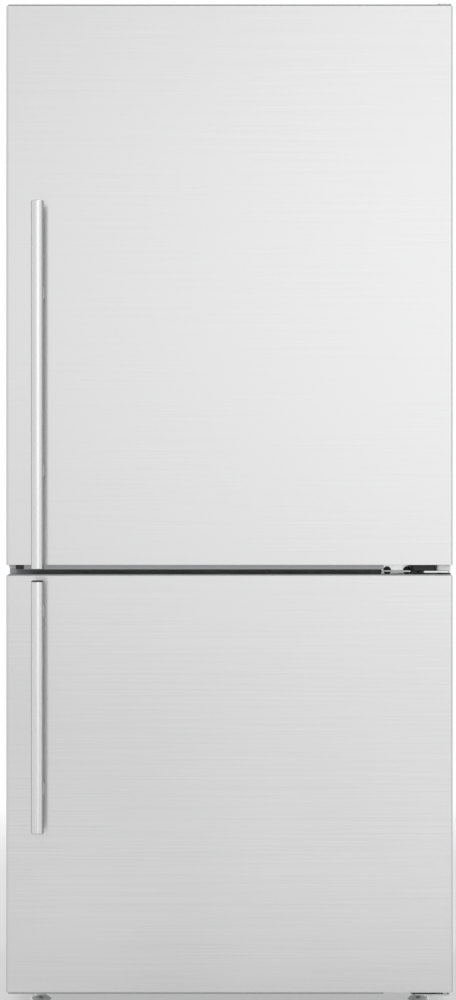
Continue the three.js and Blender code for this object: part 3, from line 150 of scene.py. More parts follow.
def make_world():
    """White studio whose light rises towards the bright side and is lower at the flanks."""
    world = bpy.data.worlds.new("studio")
    bpy.context.scene.world = world
    world.use_nodes = True
    tree = world.node_tree
    link = tree.links.new
    direction = add_node(tree, "TexCoord").outputs["Generated"]

    toward = add_node(tree, "VectorMath", {1: Vector(BRIGHT_SIDE).normalized()}, "DOT_PRODUCT")
    place = add_node(tree, "MapRange", {"From Min": -1})
    around = grey_ramp(tree, [(where, level / PEAK) for where, level in LIGHT])
    link(direction, toward.inputs[0])
    link(toward.outputs["Value"], place.inputs["Value"])
    link(place.outputs["Result"], around.inputs["Fac"])

    split = add_node(tree, "SeparateXYZ")
    height = add_node(tree, "MapRange", {"From Min": -1})
    rising = grey_ramp(tree, BY_HEIGHT)
    link(direction, split.inputs["Vector"])
    link(split.outputs["Z"], height.inputs["Value"])
    link(height.outputs["Result"], rising.inputs["Fac"])

    front = add_node(tree, "MapRange", {"From Min": FRONT[0], "From Max": FRONT[1]})
    factor = add_node(tree, "Mix")
    factor.data_type = "RGBA"
    factor.inputs["A"].default_value = (1, 1, 1, 1)
    link(place.outputs["Result"], front.inputs["Value"])
    link(front.outputs["Result"], factor.inputs["Factor"])
    link(rising.outputs["Color"], factor.inputs["B"])

    both = add_node(tree, "VectorMath", operation="MULTIPLY")
    background = tree.nodes["Background"]
    background.inputs["Strength"].default_value = PEAK
    link(around.outputs["Color"], both.inputs[0])
    link(factor.outputs["Result"], both.inputs[1])
    link(both.outputs["Vector"], background.inputs["Color"])


# ---------------------------------------------------------------- floor

FLOOR_REACH = 3.2
FLOOR_CELLS = 24
FLOOR_FADE = {"From Min": 0.95 * FLOOR_REACH, "From Max": 0.45 * FLOOR_REACH}  # from gone to whole
FLOOR_PAINT = {"Base Color": (0.62, 0.62, 0.62, 1), "Roughness": 0.9, "Specular IOR Level": 0.1}
FLOOR_LIFT = 0.37  # share of plain white in what the eye, metal and glass see of the floor


def blend(tree, share, first, second):
    """Blends two shaders and returns the socket with the result."""
    mixed = add_node(tree, "MixShader")
    for socket, source in (("Fac", share), (1, first), (2, second)):
        tree.links.new(source, mixed.inputs[socket])
    return mixed.outputs["Shader"]


def floor_material():
    """Matt grey, lifted by plain white for what looks at it, and clear some way off."""
    material = bpy.data.materials.new("floor")
    material.use_nodes = True
    tree = material.node_tree
    link = tree.links.new
    shader = tree.nodes["Principled BSDF"]
    for socket, value in FLOOR_PAINT.items():
        shader.inputs[socket].default_value = value

    path = add_node(tree, "LightPath")
    seen = path.outputs["Is Camera Ray"]
    for other in ("Is Glossy Ray", "Is Transmission Ray"):
        either = add_node(tree, "Math", operation="MAXIMUM")
        link(seen, either.inputs[0])
        link(path.outputs[other], either.inputs[1])
        seen = either.outputs["Value"]
    lift = add_node(tree, "Math", {1: FLOOR_LIFT}, "MULTIPLY")
    link(seen, lift.inputs[0])
    white = add_node(tree, "Emission")
    lifted = blend(tree, lift.outputs["Value"], shader.outputs["BSDF"], white.outputs["Emission"])

    distance = add_node(tree, "VectorMath", operation="LENGTH")
    fade = add_node(tree, "MapRange", FLOOR_FADE)
    fade.interpolation_type = "SMOOTHSTEP"
    link(add_node(tree, "TexCoord").outputs["Object"], distance.inputs[0])
    link(distance.outputs["Value"], fade.inputs["Value"])
    clear = add_node(tree, "BsdfTransparent")
    faded = blend(tree, fade.outputs["Result"], clear.outputs["BSDF"], lifted)
    link(faded, tree.nodes["Material Output"].inputs["Surface"])
    return material


def make_floor():
    """Pale floor that fades into the backdrop some way off."""
    bm = bmesh.new()
    bmesh.ops.create_grid(bm, x_segments=FLOOR_CELLS, y_segments=FLOOR_CELLS, size=FLOOR_REACH)
    floor = add_mesh("floor", bm)
    floor.data.materials.append(floor_material())


make_camera()
make_world()
bpy.context.scene.view_settings.view_transform = "Standard"
make_lamp("above", (0.8, -1.6, 4.4), (0, -0.2, 0.8), 32)
make_lamp("rear", (-1.6, 3.6, 3.4), (0, 0.3, 0.8), 35)
make_floor()

# ---------------------------------------------------------------- materials

NOISE_LOW, NOISE_HIGH = 0.3, 0.7  # the noise stays between these for the most part
FINE_DETAIL, WIDE_DETAIL = 3, 2
CLOUD_SHARE = 0.35  # of the wide noise in the sum
RELIEF = 0.0004


def finish(name, color, roughness, metallic=0.0, stretch=(1, 1, 1), scale=300.0, tone=0.04,
           spread=0.05, depth=0.0, cloud=0.0, **sockets):
    """Shader whose colour, roughness and relief follow a noise that can be stretched into a grain.

    Colour swings by the share `tone` and roughness by `spread`. `depth` is the strength of the relief
    and `cloud` the scale of a second, wide noise.
    """
    material = bpy.data.materials.new(name)
    material.use_nodes = True
    tree = material.node_tree
    link = tree.links.new
    shader = tree.nodes["Principled BSDF"]
    shader.inputs["Metallic"].default_value = metallic
    for socket, value in sockets.items():
        shader.inputs[socket.replace("_", " ")].default_value = value

    coordinates = add_node(tree, "TexCoord").outputs["Object"]
    mapping = add_node(tree, "Mapping", {"Scale": stretch})
    noise = add_node(tree, "TexNoise", {"Scale": scale, "Detail": FINE_DETAIL})
    link(coordinates, mapping.inputs["Vector"])
    link(mapping.outputs["Vector"], noise.inputs["Vector"])
    swing = noise.outputs["Fac"]
    if cloud:
        wide = add_node(tree, "TexNoise", {"Scale": cloud, "Detail": WIDE_DETAIL})
        both = add_node(tree, "Mix", {"Factor": CLOUD_SHARE})
        link(coordinates, wide.inputs["Vector"])
        link(noise.outputs["Fac"], both.inputs["A"])
        link(wide.outputs["Fac"], both.inputs["B"])
        swing = both.outputs["Result"]

    tint = add_node(tree, "ValToRGB")
    low, high = tint.color_ramp.elements
    low.position, high.position = NOISE_LOW, NOISE_HIGH
    low.color = [c * (1 - tone) for c in color] + [1]
    high.color = [min(1, c * (1 + tone)) for c in color] + [1]
    link(swing, tint.inputs["Fac"])
    link(tint.outputs["Color"], shader.inputs["Base Color"])

    rough = add_node(tree, "MapRange", {"From Min": NOISE_LOW, "From Max": NOISE_HIGH,
                                        "To Min": roughness - spread, "To Max": roughness + spread})
    link(swing, rough.inputs["Value"])
    link(rough.outputs["Result"], shader.inputs["Roughness"])
    if depth:
        bump = add_node(tree, "Bump", {"Strength": depth, "Distance": RELIEF})
        link(noise.outputs["Fac"], bump.inputs["Height"])
        link(bump.outputs["Normal"], shader.inputs["Normal"])
    return material


def brushed(material, turn, amount):
    """Spreads the gloss across the grain. A turn of 0.25 suits grain that runs level."""
    tree = material.node_tree
    shader = tree.nodes["Principled BSDF"]
    tangent = add_node(tree, "Tangent")
    tangent.direction_type = "RADIAL"
    tangent.axis = "Z"
    tree.links.new(tangent.outputs["Tangent"], shader.inputs["Tangent"])
    shader.inputs["Anisotropic"].default_value = amount
    shader.inputs["Anisotropic Rotation"].default_value = turn
    return material


LOOK = {
    "brushed_steel": brushed(
        finish("brushed_steel", (0.7, 0.7, 0.702), 0.2, 1, (4, 4, 1600), scale=1.0, tone=0.06,
               spread=0.025, depth=0.01, cloud=2.5, Specular_Tint=(0.3, 0.3, 0.3, 1)), 0.25, 0.9),
    "bar_steel": finish("bar_steel", (0.77, 0.77, 0.775), 0.27, 1, (900, 900, 14), scale=1.0, tone=0.03,
                        spread=0.04, depth=0.03, Specular_Tint=(0, 0, 0, 1)),
    "zinc_steel": finish("zinc_steel", (0.66, 0.67, 0.67), 0.19, 1, scale=140, tone=0.08),
    "cabinet_paint": finish("cabinet_paint", (0.45, 0.46, 0.47), 0.5, scale=900, depth=0.35, cloud=6),
    "dark_paint": finish("dark_paint", (0.33, 0.33, 0.335), 0.6, scale=500, tone=0.1, depth=0.15),
    "black_steel": finish("black_steel", (0.018, 0.018, 0.02), 0.38, scale=120, tone=0.15, depth=0.08,
                          Coat_Weight=0.25, Coat_Roughness=0.2),
    "aluminium": finish("aluminium", (0.74, 0.75, 0.76), 0.36, 1, scale=220, spread=0.07),
    "grey_plastic": finish("grey_plastic", (0.32, 0.325, 0.33), 0.5, scale=1400, depth=0.12),
    "black_plastic": finish("black_plastic", (0.018, 0.018, 0.019), 0.48, scale=1200, tone=0.12,
                            depth=0.12),
    "white_plastic": finish("white_plastic", (0.87, 0.88, 0.89), 0.3, scale=500, tone=0.01, depth=0.03),
    "clear_plastic": finish("clear_plastic", (0.86, 0.91, 0.93), 0.14, scale=40, tone=0.01,
                            spread=0.04, Alpha=0.34),
    "lens": finish("lens", (0.95, 0.95, 0.93), 0.35, scale=90, tone=0.01, depth=0.1,
                   Transmission_Weight=0.5, IOR=1.49),
    "shelf_glass": finish("shelf_glass", (0.85, 0.95, 0.91), 0.04, scale=20, tone=0.01, spread=0.02,
                          Alpha=0.1),
    "seal": finish("seal", (0.56, 0.56, 0.565), 0.62, scale=700, depth=0.1),
    "foam": finish("foam", (0.78, 0.69, 0.4), 0.85, scale=160, tone=0.1, depth=0.6),
}

# ---------------------------------------------------------------- pieces

WELD = 2e-5  # corners of a solid that lie this close become one
FLAT = math.radians(0.6)  # faces that meet under this angle become one


def piece(name, bm, slot, body, replaces=(), smooth=34, bevel=0.0, segments=2, outward=False):
    """Makes the object, on its body, with its finish and its edges eased.

    Edges that turn by more than `smooth` degrees are the sharp ones. `outward` says that the faces
    already look outward.
    """
    if not outward:
        bmesh.ops.recalc_face_normals(bm, faces=bm.faces)
    obj = add_mesh(name, bm)
    obj.data.shade_smooth()
    obj.data.set_sharp_from_angle(angle=math.radians(smooth))
    obj.data.materials.append(LOOK[slot])
    if bevel:
        ease = obj.modifiers.new("ease", "BEVEL")
        ease.width = bevel
        ease.segments = segments
        ease.limit_method = "ANGLE"
        ease.angle_limit = math.radians(smooth)
    level = obj.modifiers.new("level", "WEIGHTED_NORMAL")
    level.keep_sharp = True
    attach(obj, body)
    if replaces:
        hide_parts(*replaces)


def eased(node, bevel, segments=2, smooth=34):
    """A copy of a CAD node with whole faces and eased edges."""
    bm = bmesh.new()
    bm.from_mesh(frame["nodes"][node].data)
    bmesh.ops.remove_doubles(bm, verts=bm.verts, dist=WELD)
    bmesh.ops.dissolve_limit(bm, angle_limit=FLAT, verts=bm.verts, edges=bm.edges)
    piece(node + "_eased", bm, SLOT[node], BODY[node], [node], smooth, bevel, segments, outward=True)


# ---------------------------------------------------------------- outlines and paths


def arc(radius, start, end, steps, centre=(0, 0)):
    """Points of an arc between two angles in degrees."""
    angles = [math.radians(start + (end - start) * i / steps) for i in range(steps + 1)]
    return [(centre[0] + radius * math.cos(t), centre[1] + radius * math.sin(t)) for t in angles]


def rounded(u, v, r, steps=6):
    """Points of a rectangle with round corners, between u[0]..u[1] and v[0]..v[1]."""
    corners = ((u[1] - r, v[0] + r, -90), (u[1] - r, v[1] - r, 0),
               (u[0] + r, v[1] - r, 90), (u[0] + r, v[0] + r, 180))
    return [p for cu, cv, start in corners for p in arc(r, start, start + 90, steps, (cu, cv))]


def at(axis, points, d):
    """Places a flat outline at a height along an axis: (x, z) for y and (x, y) for z."""
    if axis == "y":
        return [(u, d, v) for u, v in points]
    return [(u, v, d) for u, v in points]


def ring(axis, low, high, inset, r, d, steps=6):
    """A box's outline across an axis, drawn in all round, with round corners, at a height along it."""
    across, rise = ((low[i] + inset, high[i] - inset) for i in (0, 2 if axis == "y" else 1))
    return at(axis, rounded(across, rise, r, steps), d)


def bent(points, radius, steps=6):
    """Path through the points with its corners rounded."""
    points = [Vector(p) for p in points]
    path = [points[0]]
    for before, here, after in zip(points, points[1:], points[2:]):
        start = here + (before - here).normalized() * radius
        end = here + (after - here).normalized() * radius
        for i in range(steps + 1):
            t = i / steps
            path.append(start * (1 - t) ** 2 + here * 2 * t * (1 - t) + end * t ** 2)
    return path + [points[-1]]


def serpentine(x, y, z, half, pitch, passes, bend, sweep, steps, stretch=1.0):
    """Path back and forth along x through passes at rising heights, joined by arcs at their ends."""
    path = []
    for i in range(passes):
        hand = -1 if i % 2 else 1
        level = z + i * pitch
        path += [(x - hand * half, y, level), (x + hand * half, y, level)]
        if i < passes - 1:
            path += [(x + hand * (half + stretch * u), y, level + pitch / 2 + v)
                     for u, v in arc(bend, -sweep, sweep, steps)]
    return path


# ---------------------------------------------------------------- skins and solids

TURN = {
    "z": Matrix(),
    "y": Matrix.Rotation(math.radians(-90), 4, "X"),
    "-y": Matrix.Rotation(math.radians(90), 4, "X"),
    "x": Matrix.Rotation(math.radians(90), 4, "Y"),
}  # from the z axis to each of these


def loft(bm, loops, closed=True, around=False):
    """Skin over loops of points. `closed` joins each loop's ends, `around` the last loop to the first.

    Without `around` the two end loops are filled.
    """
    rings = [[bm.verts.new(p) for p in loop] for loop in loops]
    pairs = list(zip(rings, rings[1:]))
    if around:
        pairs.append((rings[-1], rings[0]))
    count = len(rings[0])
    for a, b in pairs:
        for i in range(count if closed else count - 1):
            j = (i + 1) % count
            bm.faces.new((a[i], a[j], b[j], b[i]))
    if not around:
        bm.faces.new(rings[0])
        bm.faces.new(rings[-1])
    return rings


def prism(bm, axis, outline, start, end):
    """Solid of one outline between two heights along an axis."""
    loft(bm, [at(axis, outline, start), at(axis, outline, end)])


def block(bm, low, high):
    """Plain box between two corners."""
    corners = [(low[0], low[1]), (high[0], low[1]), (high[0], high[1]), (low[0], high[1])]
    prism(bm, "z", corners, low[2], high[2])


def block_pair(bm, inner, outer, y, z):
    """Box from `inner` to `outer` off the middle plane, and its mirror image. y and z are spans."""
    for hand in (-1, 1):
        left, right = sorted((hand * inner, hand * outer))
        block(bm, (left, y[0], z[0]), (right, y[1], z[1]))


def lathe(bm, profile, centre, axis="z", segments=48, around=False):
    """Solid of revolution from (radius, height) points about an axis through the centre."""
    spot = Matrix.Translation(Vector(centre)) @ TURN[axis]
    turns = [2 * math.pi * i / segments for i in range(segments)]
    loops = [[spot @ Vector((r * math.cos(t), r * math.sin(t), h)) for t in turns] for r, h in profile]
    loft(bm, loops, around=around)


def tube(bm, path, radius, sides=14):
    """Round tube along the points of a path."""
    points = [Vector(p) for p in path]
    normal = Vector((0, 1, 0.01)).normalized()
    turns = [2 * math.pi * k / sides for k in range(sides)]
    loops = []
    for i, point in enumerate(points):
        ahead = (points[min(i + 1, len(points) - 1)] - points[max(i - 1, 0)]).normalized()
        normal = (normal - ahead * normal.dot(ahead)).normalized()
        other = ahead.cross(normal)
        loops.append([point + radius * (math.cos(t) * normal + math.sin(t) * other) for t in turns])
    loft(bm, loops)


# ---------------------------------------------------------------- doors

SHEET = 0.0008
FRONT_BEND = 0.004
BAR_RIM = 0.0016
BAR_DISH = (0.003, 0.0006)  # width of the flat round a bar's dished end, and the dish's depth
PLUG = 0.0019
POST_FLARE = ((0, 0), (0.0022, 0), (0.003, 0.0004), (0.0034, 0.0012), (0.0042, 0.002))  # depth, inset
POST_SINK = 0.004  # from the bar's axis to the post's end
GASKET_WIDTH, GASKET_CORNER = 0.018, 0.014
GASKET_SECTION = (
    (0.0, 0.0), (0.0, 0.12), (0.3, 0.22), (0.34, 0.34), (0.12, 0.44), (0.1, 0.52), (0.3, 0.62),
    (0.06, 0.7), (0.02, 0.8), (0.04, 0.95), (0.1, 1.0), (0.9, 1.0), (0.97, 0.95), (0.98, 0.8),
    (0.94, 0.7), (0.7, 0.62), (0.9, 0.52), (0.88, 0.44), (0.66, 0.34), (0.7, 0.22), (1.0, 0.12),
    (1.0, 0.0),
)  # shares of its width and depth


def door_panel(node):
    """Sheet with its two sides bent back round a small radius."""
    low, high, _ = box(node)
    faces = []
    for inset in (0, SHEET):
        r = FRONT_BEND - inset
        left, right, near = low.x + inset, high.x - inset, low.y + inset
        faces.append([(left, high.y), *arc(r, 180, 270, 8, (left + r, near + r)),
                      *arc(r, 270, 360, 8, (right - r, near + r)), (right, high.y)])
    outer, inner = faces
    bm = bmesh.new()
    prism(bm, "z", outer + inner[::-1], low.z, high.z)
    piece(node + "_sheet", bm, "brushed_steel", BODY[node], [node], smooth=30, bevel=0.00025, segments=1)


def handle_bar(node, plug=0.0):
    """Round bar with rounded rims and dished ends. A dark plug may take up the top of its length."""
    low, high, mid = box(node)
    radius = (high.x - low.x) / 2
    length = high.z - low.z - plug
    flat, dish = BAR_DISH
    well = radius - flat - 0.0005
    profile = [(well, dish), (radius - flat, 0), *arc(BAR_RIM, -90, 0, 5, (radius - BAR_RIM, BAR_RIM)),
               *arc(BAR_RIM, 0, 90, 5, (radius - BAR_RIM, length - BAR_RIM)),
               (radius - flat, length), (well, length - dish)]
    bm = bmesh.new()
    lathe(bm, profile, (mid.x, mid.y, low.z), segments=72)
    piece(node + "_turned", bm, "bar_steel", BODY[node], [node], smooth=40)
    if plug:
        core, sunk = 0.002, -0.0004
        profile = [(core, sunk), (radius - 0.0012, sunk), (radius - 0.0004, 0.0002),
                   (radius - 0.0004, plug - 0.0006), (radius - 0.001, plug), (core, plug)]
        bm = bmesh.new()
        lathe(bm, profile, (mid.x, mid.y, high.z - plug), segments=72)
        piece(node + "_plug", bm, "black_plastic", BODY[node])


def handle_post(node, bar):
    """Oval post with a flared foot on the door, run into the bar at its other end."""
    low, high, _ = box(node)
    half = (high.x - low.x) / 2 - 0.00002
    stations = [(high.y - depth, inset) for depth, inset in POST_FLARE]
    stations.append((box(bar)[2].y + POST_SINK, POST_FLARE[-1][1]))
    bm = bmesh.new()
    loft(bm, [ring("y", low, high, inset, half - inset, y, 12) for y, inset in stations])
    piece(node + "_oval", bm, "bar_steel", BODY[node], [node], smooth=40)


def gasket(node):
    """Hollow seal: a foot in the door, a folded bellows and a wide pocket with the magnet."""
    low, high, _ = box(node)
    loops = []
    for share, depth in GASKET_SECTION:
        inset = share * GASKET_WIDTH
        r = max(GASKET_CORNER - inset, 0.002)
        loops.append(ring("y", low, high, inset, r, low.y + depth * (high.y - low.y)))
    bm = bmesh.new()
    loft(bm, loops, around=True)
    piece(node + "_bellows", bm, "seal", BODY[node], [node], smooth=50)


door_panel("fridge_door_panel")
door_panel("freezer_door_panel")
handle_bar("fridge_handle_bar")
handle_bar("freezer_handle_bar", PLUG)
for door in ("fridge", "freezer"):
    for word in ("upper", "lower"):
        handle_post(f"{door}_handle_post_{word}", f"{door}_handle_bar")
    gasket(f"{door}_door_gasket")
    eased(f"{door}_door_liner", 0.0022, 3)
    eased(f"{door}_door_top_cap", 0.0004)
    eased(f"{door}_door_bottom_cap", 0.0004)
    eased(f"{door}_door_closer", 0.0008)

# ---------------------------------------------------------------- cabinet shell

FLANGE, REAR_FLANGE = 0.044, 0.014
FOLD = 0.0017  # outer radius of the wrapper's folds
CREASE = 0.0012  # chamfer inside them
RIB_WIDTH, RIB_MARGIN, RIB_CORNER = 0.06, 0.08, 0.024
RIB_PLACE = 0.45  # share of the half width at which a rib's middle lies
RIB_GROOVE = ((-0.004, 0), (-0.002, 0.0006), (0.002, 0.0032), (0.004, 0.0038), (0.007, 0.0038),
              (0.009, 0.0032), (0.013, 0.0006), (0.015, 0))  # from the rib's outline inward, and depth


def wrapper():
    """Folded sheet round the sides and the top, with a flange in front and one behind."""
    low, high, _ = box("outer_wrapper")
    crease = SHEET + CREASE
    stations = [(low.y, FLANGE), *arc(FOLD, -180, -90, 4, (low.y + FOLD, FOLD)),
                *arc(FOLD, -90, 0, 4, (high.y - FOLD, FOLD)), (high.y, REAR_FLANGE),
                (high.y - SHEET, REAR_FLANGE), (high.y - SHEET, crease), (high.y - crease, SHEET),
                (low.y + crease, SHEET), (low.y + SHEET, crease), (low.y + SHEET, FLANGE)]
    loops = []
    for y, inset in stations:
        r = max(FOLD - inset, 0.0004)
        left, right, top = low.x + inset, high.x - inset, high.z - inset
        arch = [(left, low.z), *arc(r, 180, 90, 6, (left + r, top - r)),
                *arc(r, 90, 0, 6, (right - r, top - r)), (right, low.z)]
        loops.append(at("y", arch, y))
    bm = bmesh.new()
    rings = loft(bm, loops, closed=False, around=True)
    for end in (0, -1):
        bm.faces.new([row[end] for row in rings])
    piece("outer_wrapper_folded", bm, "cabinet_paint", "cabinet", ["outer_wrapper"], smooth=40)


def back_panel():
    """Rear sheet in two halves, each with a pressed groove in the form of a long loop."""
    low, high, _ = box("back_panel")
    middle = RIB_PLACE * box("outer_wrapper")[1].x
    bm = bmesh.new()
    for hand in (-1, 1):
        half = sorted((0, hand * high.x))
        loops = [at("y", rounded(half, (low.z, high.z), 0.0005), y) for y in (high.y - SHEET, high.y)]
        for margin, sunk in RIB_GROOVE:
            left, right = hand * middle - RIB_WIDTH / 2, hand * middle + RIB_WIDTH / 2
            span = (left + margin, right - margin)
            rise = (low.z + RIB_MARGIN + margin, high.z - RIB_MARGIN - margin)
            loops.append(at("y", rounded(span, rise, RIB_CORNER - margin), high.y - sunk))
        loft(bm, loops)
    piece("back_panel_pressed", bm, "cabinet_paint", "cabinet", ["back_panel"], smooth=50)


wrapper()
back_panel()
eased("base_pan", 0.0004)
eased("front_crossrail", 0.0003)
eased("machine_cover", 0.0003)
eased("top_hinge_cover", 0.0012, 3)
for word in ("top", "middle", "bottom"):
    eased(f"{word}_hinge_bracket", 0.0005)
frame["nodes"]["insulation_foam"].data.materials[0] = LOOK["foam"]

# ---------------------------------------------------------------- liners

WALL = 0.002
LIP = 0.0011  # thickness of a liner's front edge
FILLET = 0.02
MOUTH = 0.003  # radius where a liner's wall meets its front edge
STEP_EDGE = 0.012  # radius of the step's upper edge
STEP_LEAN = 0.001  # the step's front leans by this, up and down


def cavity(node, side, below, above, **step):
    """Inside of a liner, from its box and the width of its front edge at the sides, below and above."""
    low, high, _ = box(node)
    return {"half": high.x - side, "floor": low.z + below, "top": high.z - above,
            "back": high.y - WALL, **step}


def cavity_loop(inside, y, grow, low=None):
    """Outline of a cavity at one depth, grown outward by a margin."""
    low = inside["floor"] if low is None else low
    half, top = inside["half"] + grow, inside["top"] + grow
    return at("y", rounded((-half, half), (low - grow, top), max(FILLET + grow, 0.0006)), y)


def liner(node, inside):
    """Vacuum-formed liner: flat front edge, rounded mouth, walls and a filleted back."""
    low, high, _ = box(node)
    front, back = low.y, inside["back"]
    floor = inside.get("step", inside["floor"])
    loops = [cavity_loop(inside, y, grow, floor)
             for y, grow in arc(FILLET, 0, 90, 7, (back - FILLET, -FILLET))]
    outside = [cavity_loop(inside, front + LIP, WALL)]
    if "step" in inside:
        near, foot = inside["step_front"], inside["floor"]
        profile = arc(STEP_EDGE, 90, 180, 6, (near + STEP_LEAN + STEP_EDGE, floor - STEP_EDGE))
        profile += arc(FILLET, 0, -90, 6, (near - STEP_LEAN - FILLET, foot + FILLET))
        loops += [cavity_loop(inside, y, 0, z) for y, z in profile]
        outside.append(cavity_loop(inside, near + WALL, WALL))
        outside.append(cavity_loop(inside, near + WALL + STEP_LEAN, WALL, floor))
    loops += [cavity_loop(inside, y, grow) for y, grow in arc(MOUTH, -90, -180, 4, (front + MOUTH, MOUTH))]
    loops += [ring("y", low, high, 0, 0.002, y) for y in (front, front + LIP)]
    outside.append(cavity_loop(inside, back + WALL, WALL, floor))
    bm = bmesh.new()
    loft(bm, loops + outside)
    piece(node + "_formed", bm, "white_plastic", "cabinet", [node], smooth=40)


FRIDGE = cavity("fridge_liner", 0.0057, 0.0057, 0.0047)
FREEZER = cavity("freezer_liner", 0.0157, 0.0067, 0.0057, step=0.318, step_front=0.08975)

liner("fridge_liner", FRIDGE)
liner("freezer_liner", FREEZER)

# ---------------------------------------------------------------- ledges

SHELVES = ("shelf_upper", "shelf_middle", "shelf_lower", "crisper_cover")
SHELF_THICK = 0.012
DRAWER_SEAT = 0.165  # from a drawer's lowest point to the underside of its flanges
LEDGE_GAP = 0.0003  # between a ledge and what rests on it
LEDGE_ROOT = 0.001  # how deep a ledge goes into the wall
LEDGE_ENDS = {"top": 0.222, "middle": 0.222, "bottom": 0.083}  # the lowest stops at the step


def ledges(name, inside, reach, height, rows):
    """Ribs with a sloped underside along both side walls, each row with its top, near and far end."""
    half = inside["half"]
    bm = bmesh.new()
    for top, near, far in rows:
        for hand in (-1, 1):
            wall, edge = hand * (half + LEDGE_ROOT), hand * (half - reach)
            section = [(wall, top - 2 * height), (edge, top - height), (edge, top), (wall, top)]
            prism(bm, "y", section, near, far)
    piece(name, bm, "white_plastic", "cabinet", smooth=30, bevel=0.0014, segments=3)


def shelf_rows():
    """Places of the ledges under the shelves."""
    for node in SHELVES:
        low, high, _ = box(node)
        yield high.z - SHELF_THICK - LEDGE_GAP, low.y, high.y


def drawer_rows():
    """Places of the ledges under the drawers' flanges."""
    for word, end in LEDGE_ENDS.items():
        low = box("freezer_drawer_" + word)[0]
        yield low.z + DRAWER_SEAT - LEDGE_GAP, low.y + 0.01, end


ledges("fridge_liner_ledges", FRIDGE, 0.009, 0.01, shelf_rows())
ledges("freezer_liner_ledges", FREEZER, 0.028, 0.005, drawer_rows())

# ---------------------------------------------------------------- shelves

SHELF_EDGE = 0.014
SHELF_CORNER = 0.008
SHELF_ROUND = 0.0015
PANE = (0.0052, 0.0012)  # the pane's underside and top, below the frame's top
NOSE = 0.012  # from the shelf's corner to the end of its nose
RAIL = 0.003  # sheet thickness


def shelf(node):
    """Glass pane held in a moulded frame with a deeper nose in front."""
    low, high, _ = box(node)
    top, seat = high.z, high.z - SHELF_THICK
    section = [(0, seat), (SHELF_EDGE, seat), (SHELF_EDGE, top - 0.0055), (SHELF_EDGE, top),
               (SHELF_ROUND, top), (0, top - SHELF_ROUND)]
    bm = bmesh.new()
    loft(bm, [ring("z", low, high, inset, max(SHELF_CORNER - inset, 0.003), z) for inset, z in section],
         around=True)
    block(bm, (low.x + NOSE, low.y, seat - 0.007), (high.x - NOSE, low.y + 0.008, seat + 0.002))
    piece(node + "_frame", bm, "white_plastic", "cabinet", [node], bevel=0.0008)
    bm = bmesh.new()
    loft(bm, [ring("z", low, high, SHELF_EDGE - 0.003, 0.003, top - depth, 3) for depth in PANE])
    piece(node + "_pane", bm, "shelf_glass", "cabinet", bevel=0.0003, segments=1)


def crisper_rails():
    """Angle rails that carry the crispers: one at each side and a double one in the middle."""
    low, high, _ = box("crisper_cover")
    crisper_low, crisper_high, _ = box("crisper_right")
    inner, outer = crisper_low.x, crisper_high.x
    seat = high.z - SHELF_THICK
    depth = (low.y + 0.012, high.y - 0.012)
    foot = (low.z, low.z + RAIL)
    bm = bmesh.new()
    block_pair(bm, outer + 0.004, outer + 0.008, depth, (low.z, seat + 0.001))
    block_pair(bm, outer - 0.013, outer + 0.008, depth, foot)
    block(bm, (-0.002, depth[0], low.z), (0.002, depth[1], seat + 0.004))
    block(bm, (-inner - 0.012, depth[0], foot[0]), (inner + 0.012, depth[1], foot[1]))
    piece("crisper_cover_rails", bm, "white_plastic", "cabinet", bevel=0.0006)


for node in SHELVES:
    shelf(node)
crisper_rails()

# ---------------------------------------------------------------- screws and pins

WASHER = ((0.3, 0), (1.5, 0), (1.5, 0.0006), (1.3, 0.001), (0.3, 0.001))  # share of the size, height
HEX_HEAD = ((0.3, 0.0008), (1, 0.0008), (1, 0.0034), (0.88, 0.004), (0.5, 0.004), (0.42, 0.0034))
BRACKET_SHEET = 0.003
BRACKET_SCREWS = (0.01, 0.044)  # from the bracket's left end
BRACKET_ROWS = (("middle", 0.02025, 0.0046), ("bottom", 0.0119, 0.004))  # height in the bracket, size
COVER_SHEET = 0.0012
COVER_SCREWS = (-0.36, -0.12, 0.12, 0.36)
COVER_EDGE = 0.009  # from the cover's upper and lower edge to its screws
COLLAR = ((0.0052, 0), (0.0115, 0), (0.0115, 0.0014), (0.0105, 0.0022), (0.0052, 0.0022))


def screw(name, place, axis, size):
    """Hexagon head on a washer, facing along the axis."""
    bm = bmesh.new()
    for profile, sides in ((WASHER, 36), (HEX_HEAD, 6)):
        lathe(bm, [(share * size, height) for share, height in profile], place, axis, sides)
    piece(name, bm, "black_steel", "cabinet", smooth=25, bevel=0.0002, segments=1)


def screws():
    """Two screws in the foot of the middle and of the bottom bracket, and two rows in the rear cover."""
    for i, shift in enumerate(BRACKET_SCREWS):
        for word, rise, size in BRACKET_ROWS:
            low, high, _ = box(f"{word}_hinge_bracket")
            place = (low.x + shift, high.y - BRACKET_SHEET, low.z + rise)
            screw(f"{word}_hinge_screw_{i}", place, "-y", size)
    low, high, _ = box("machine_cover")
    for i, x in enumerate(COVER_SCREWS):
        for j, z in enumerate((low.z + COVER_EDGE, high.z - COVER_EDGE)):
            screw(f"machine_cover_screw_{i}_{j}", (x, low.y + COVER_SHEET, z), "y", 0.0038)


def insert(name, slot, low, high, corner):
    """Block with round corners under the upper door's steel, for the moulded bearing and for the dark
    corner block.
    """
    bm = bmesh.new()
    prism(bm, "z", rounded((low[0], high[0]), (low[1], high[1]), corner, 5), low[2], high[2])
    piece(name, bm, slot, "fridge_door", bevel=0.0006)


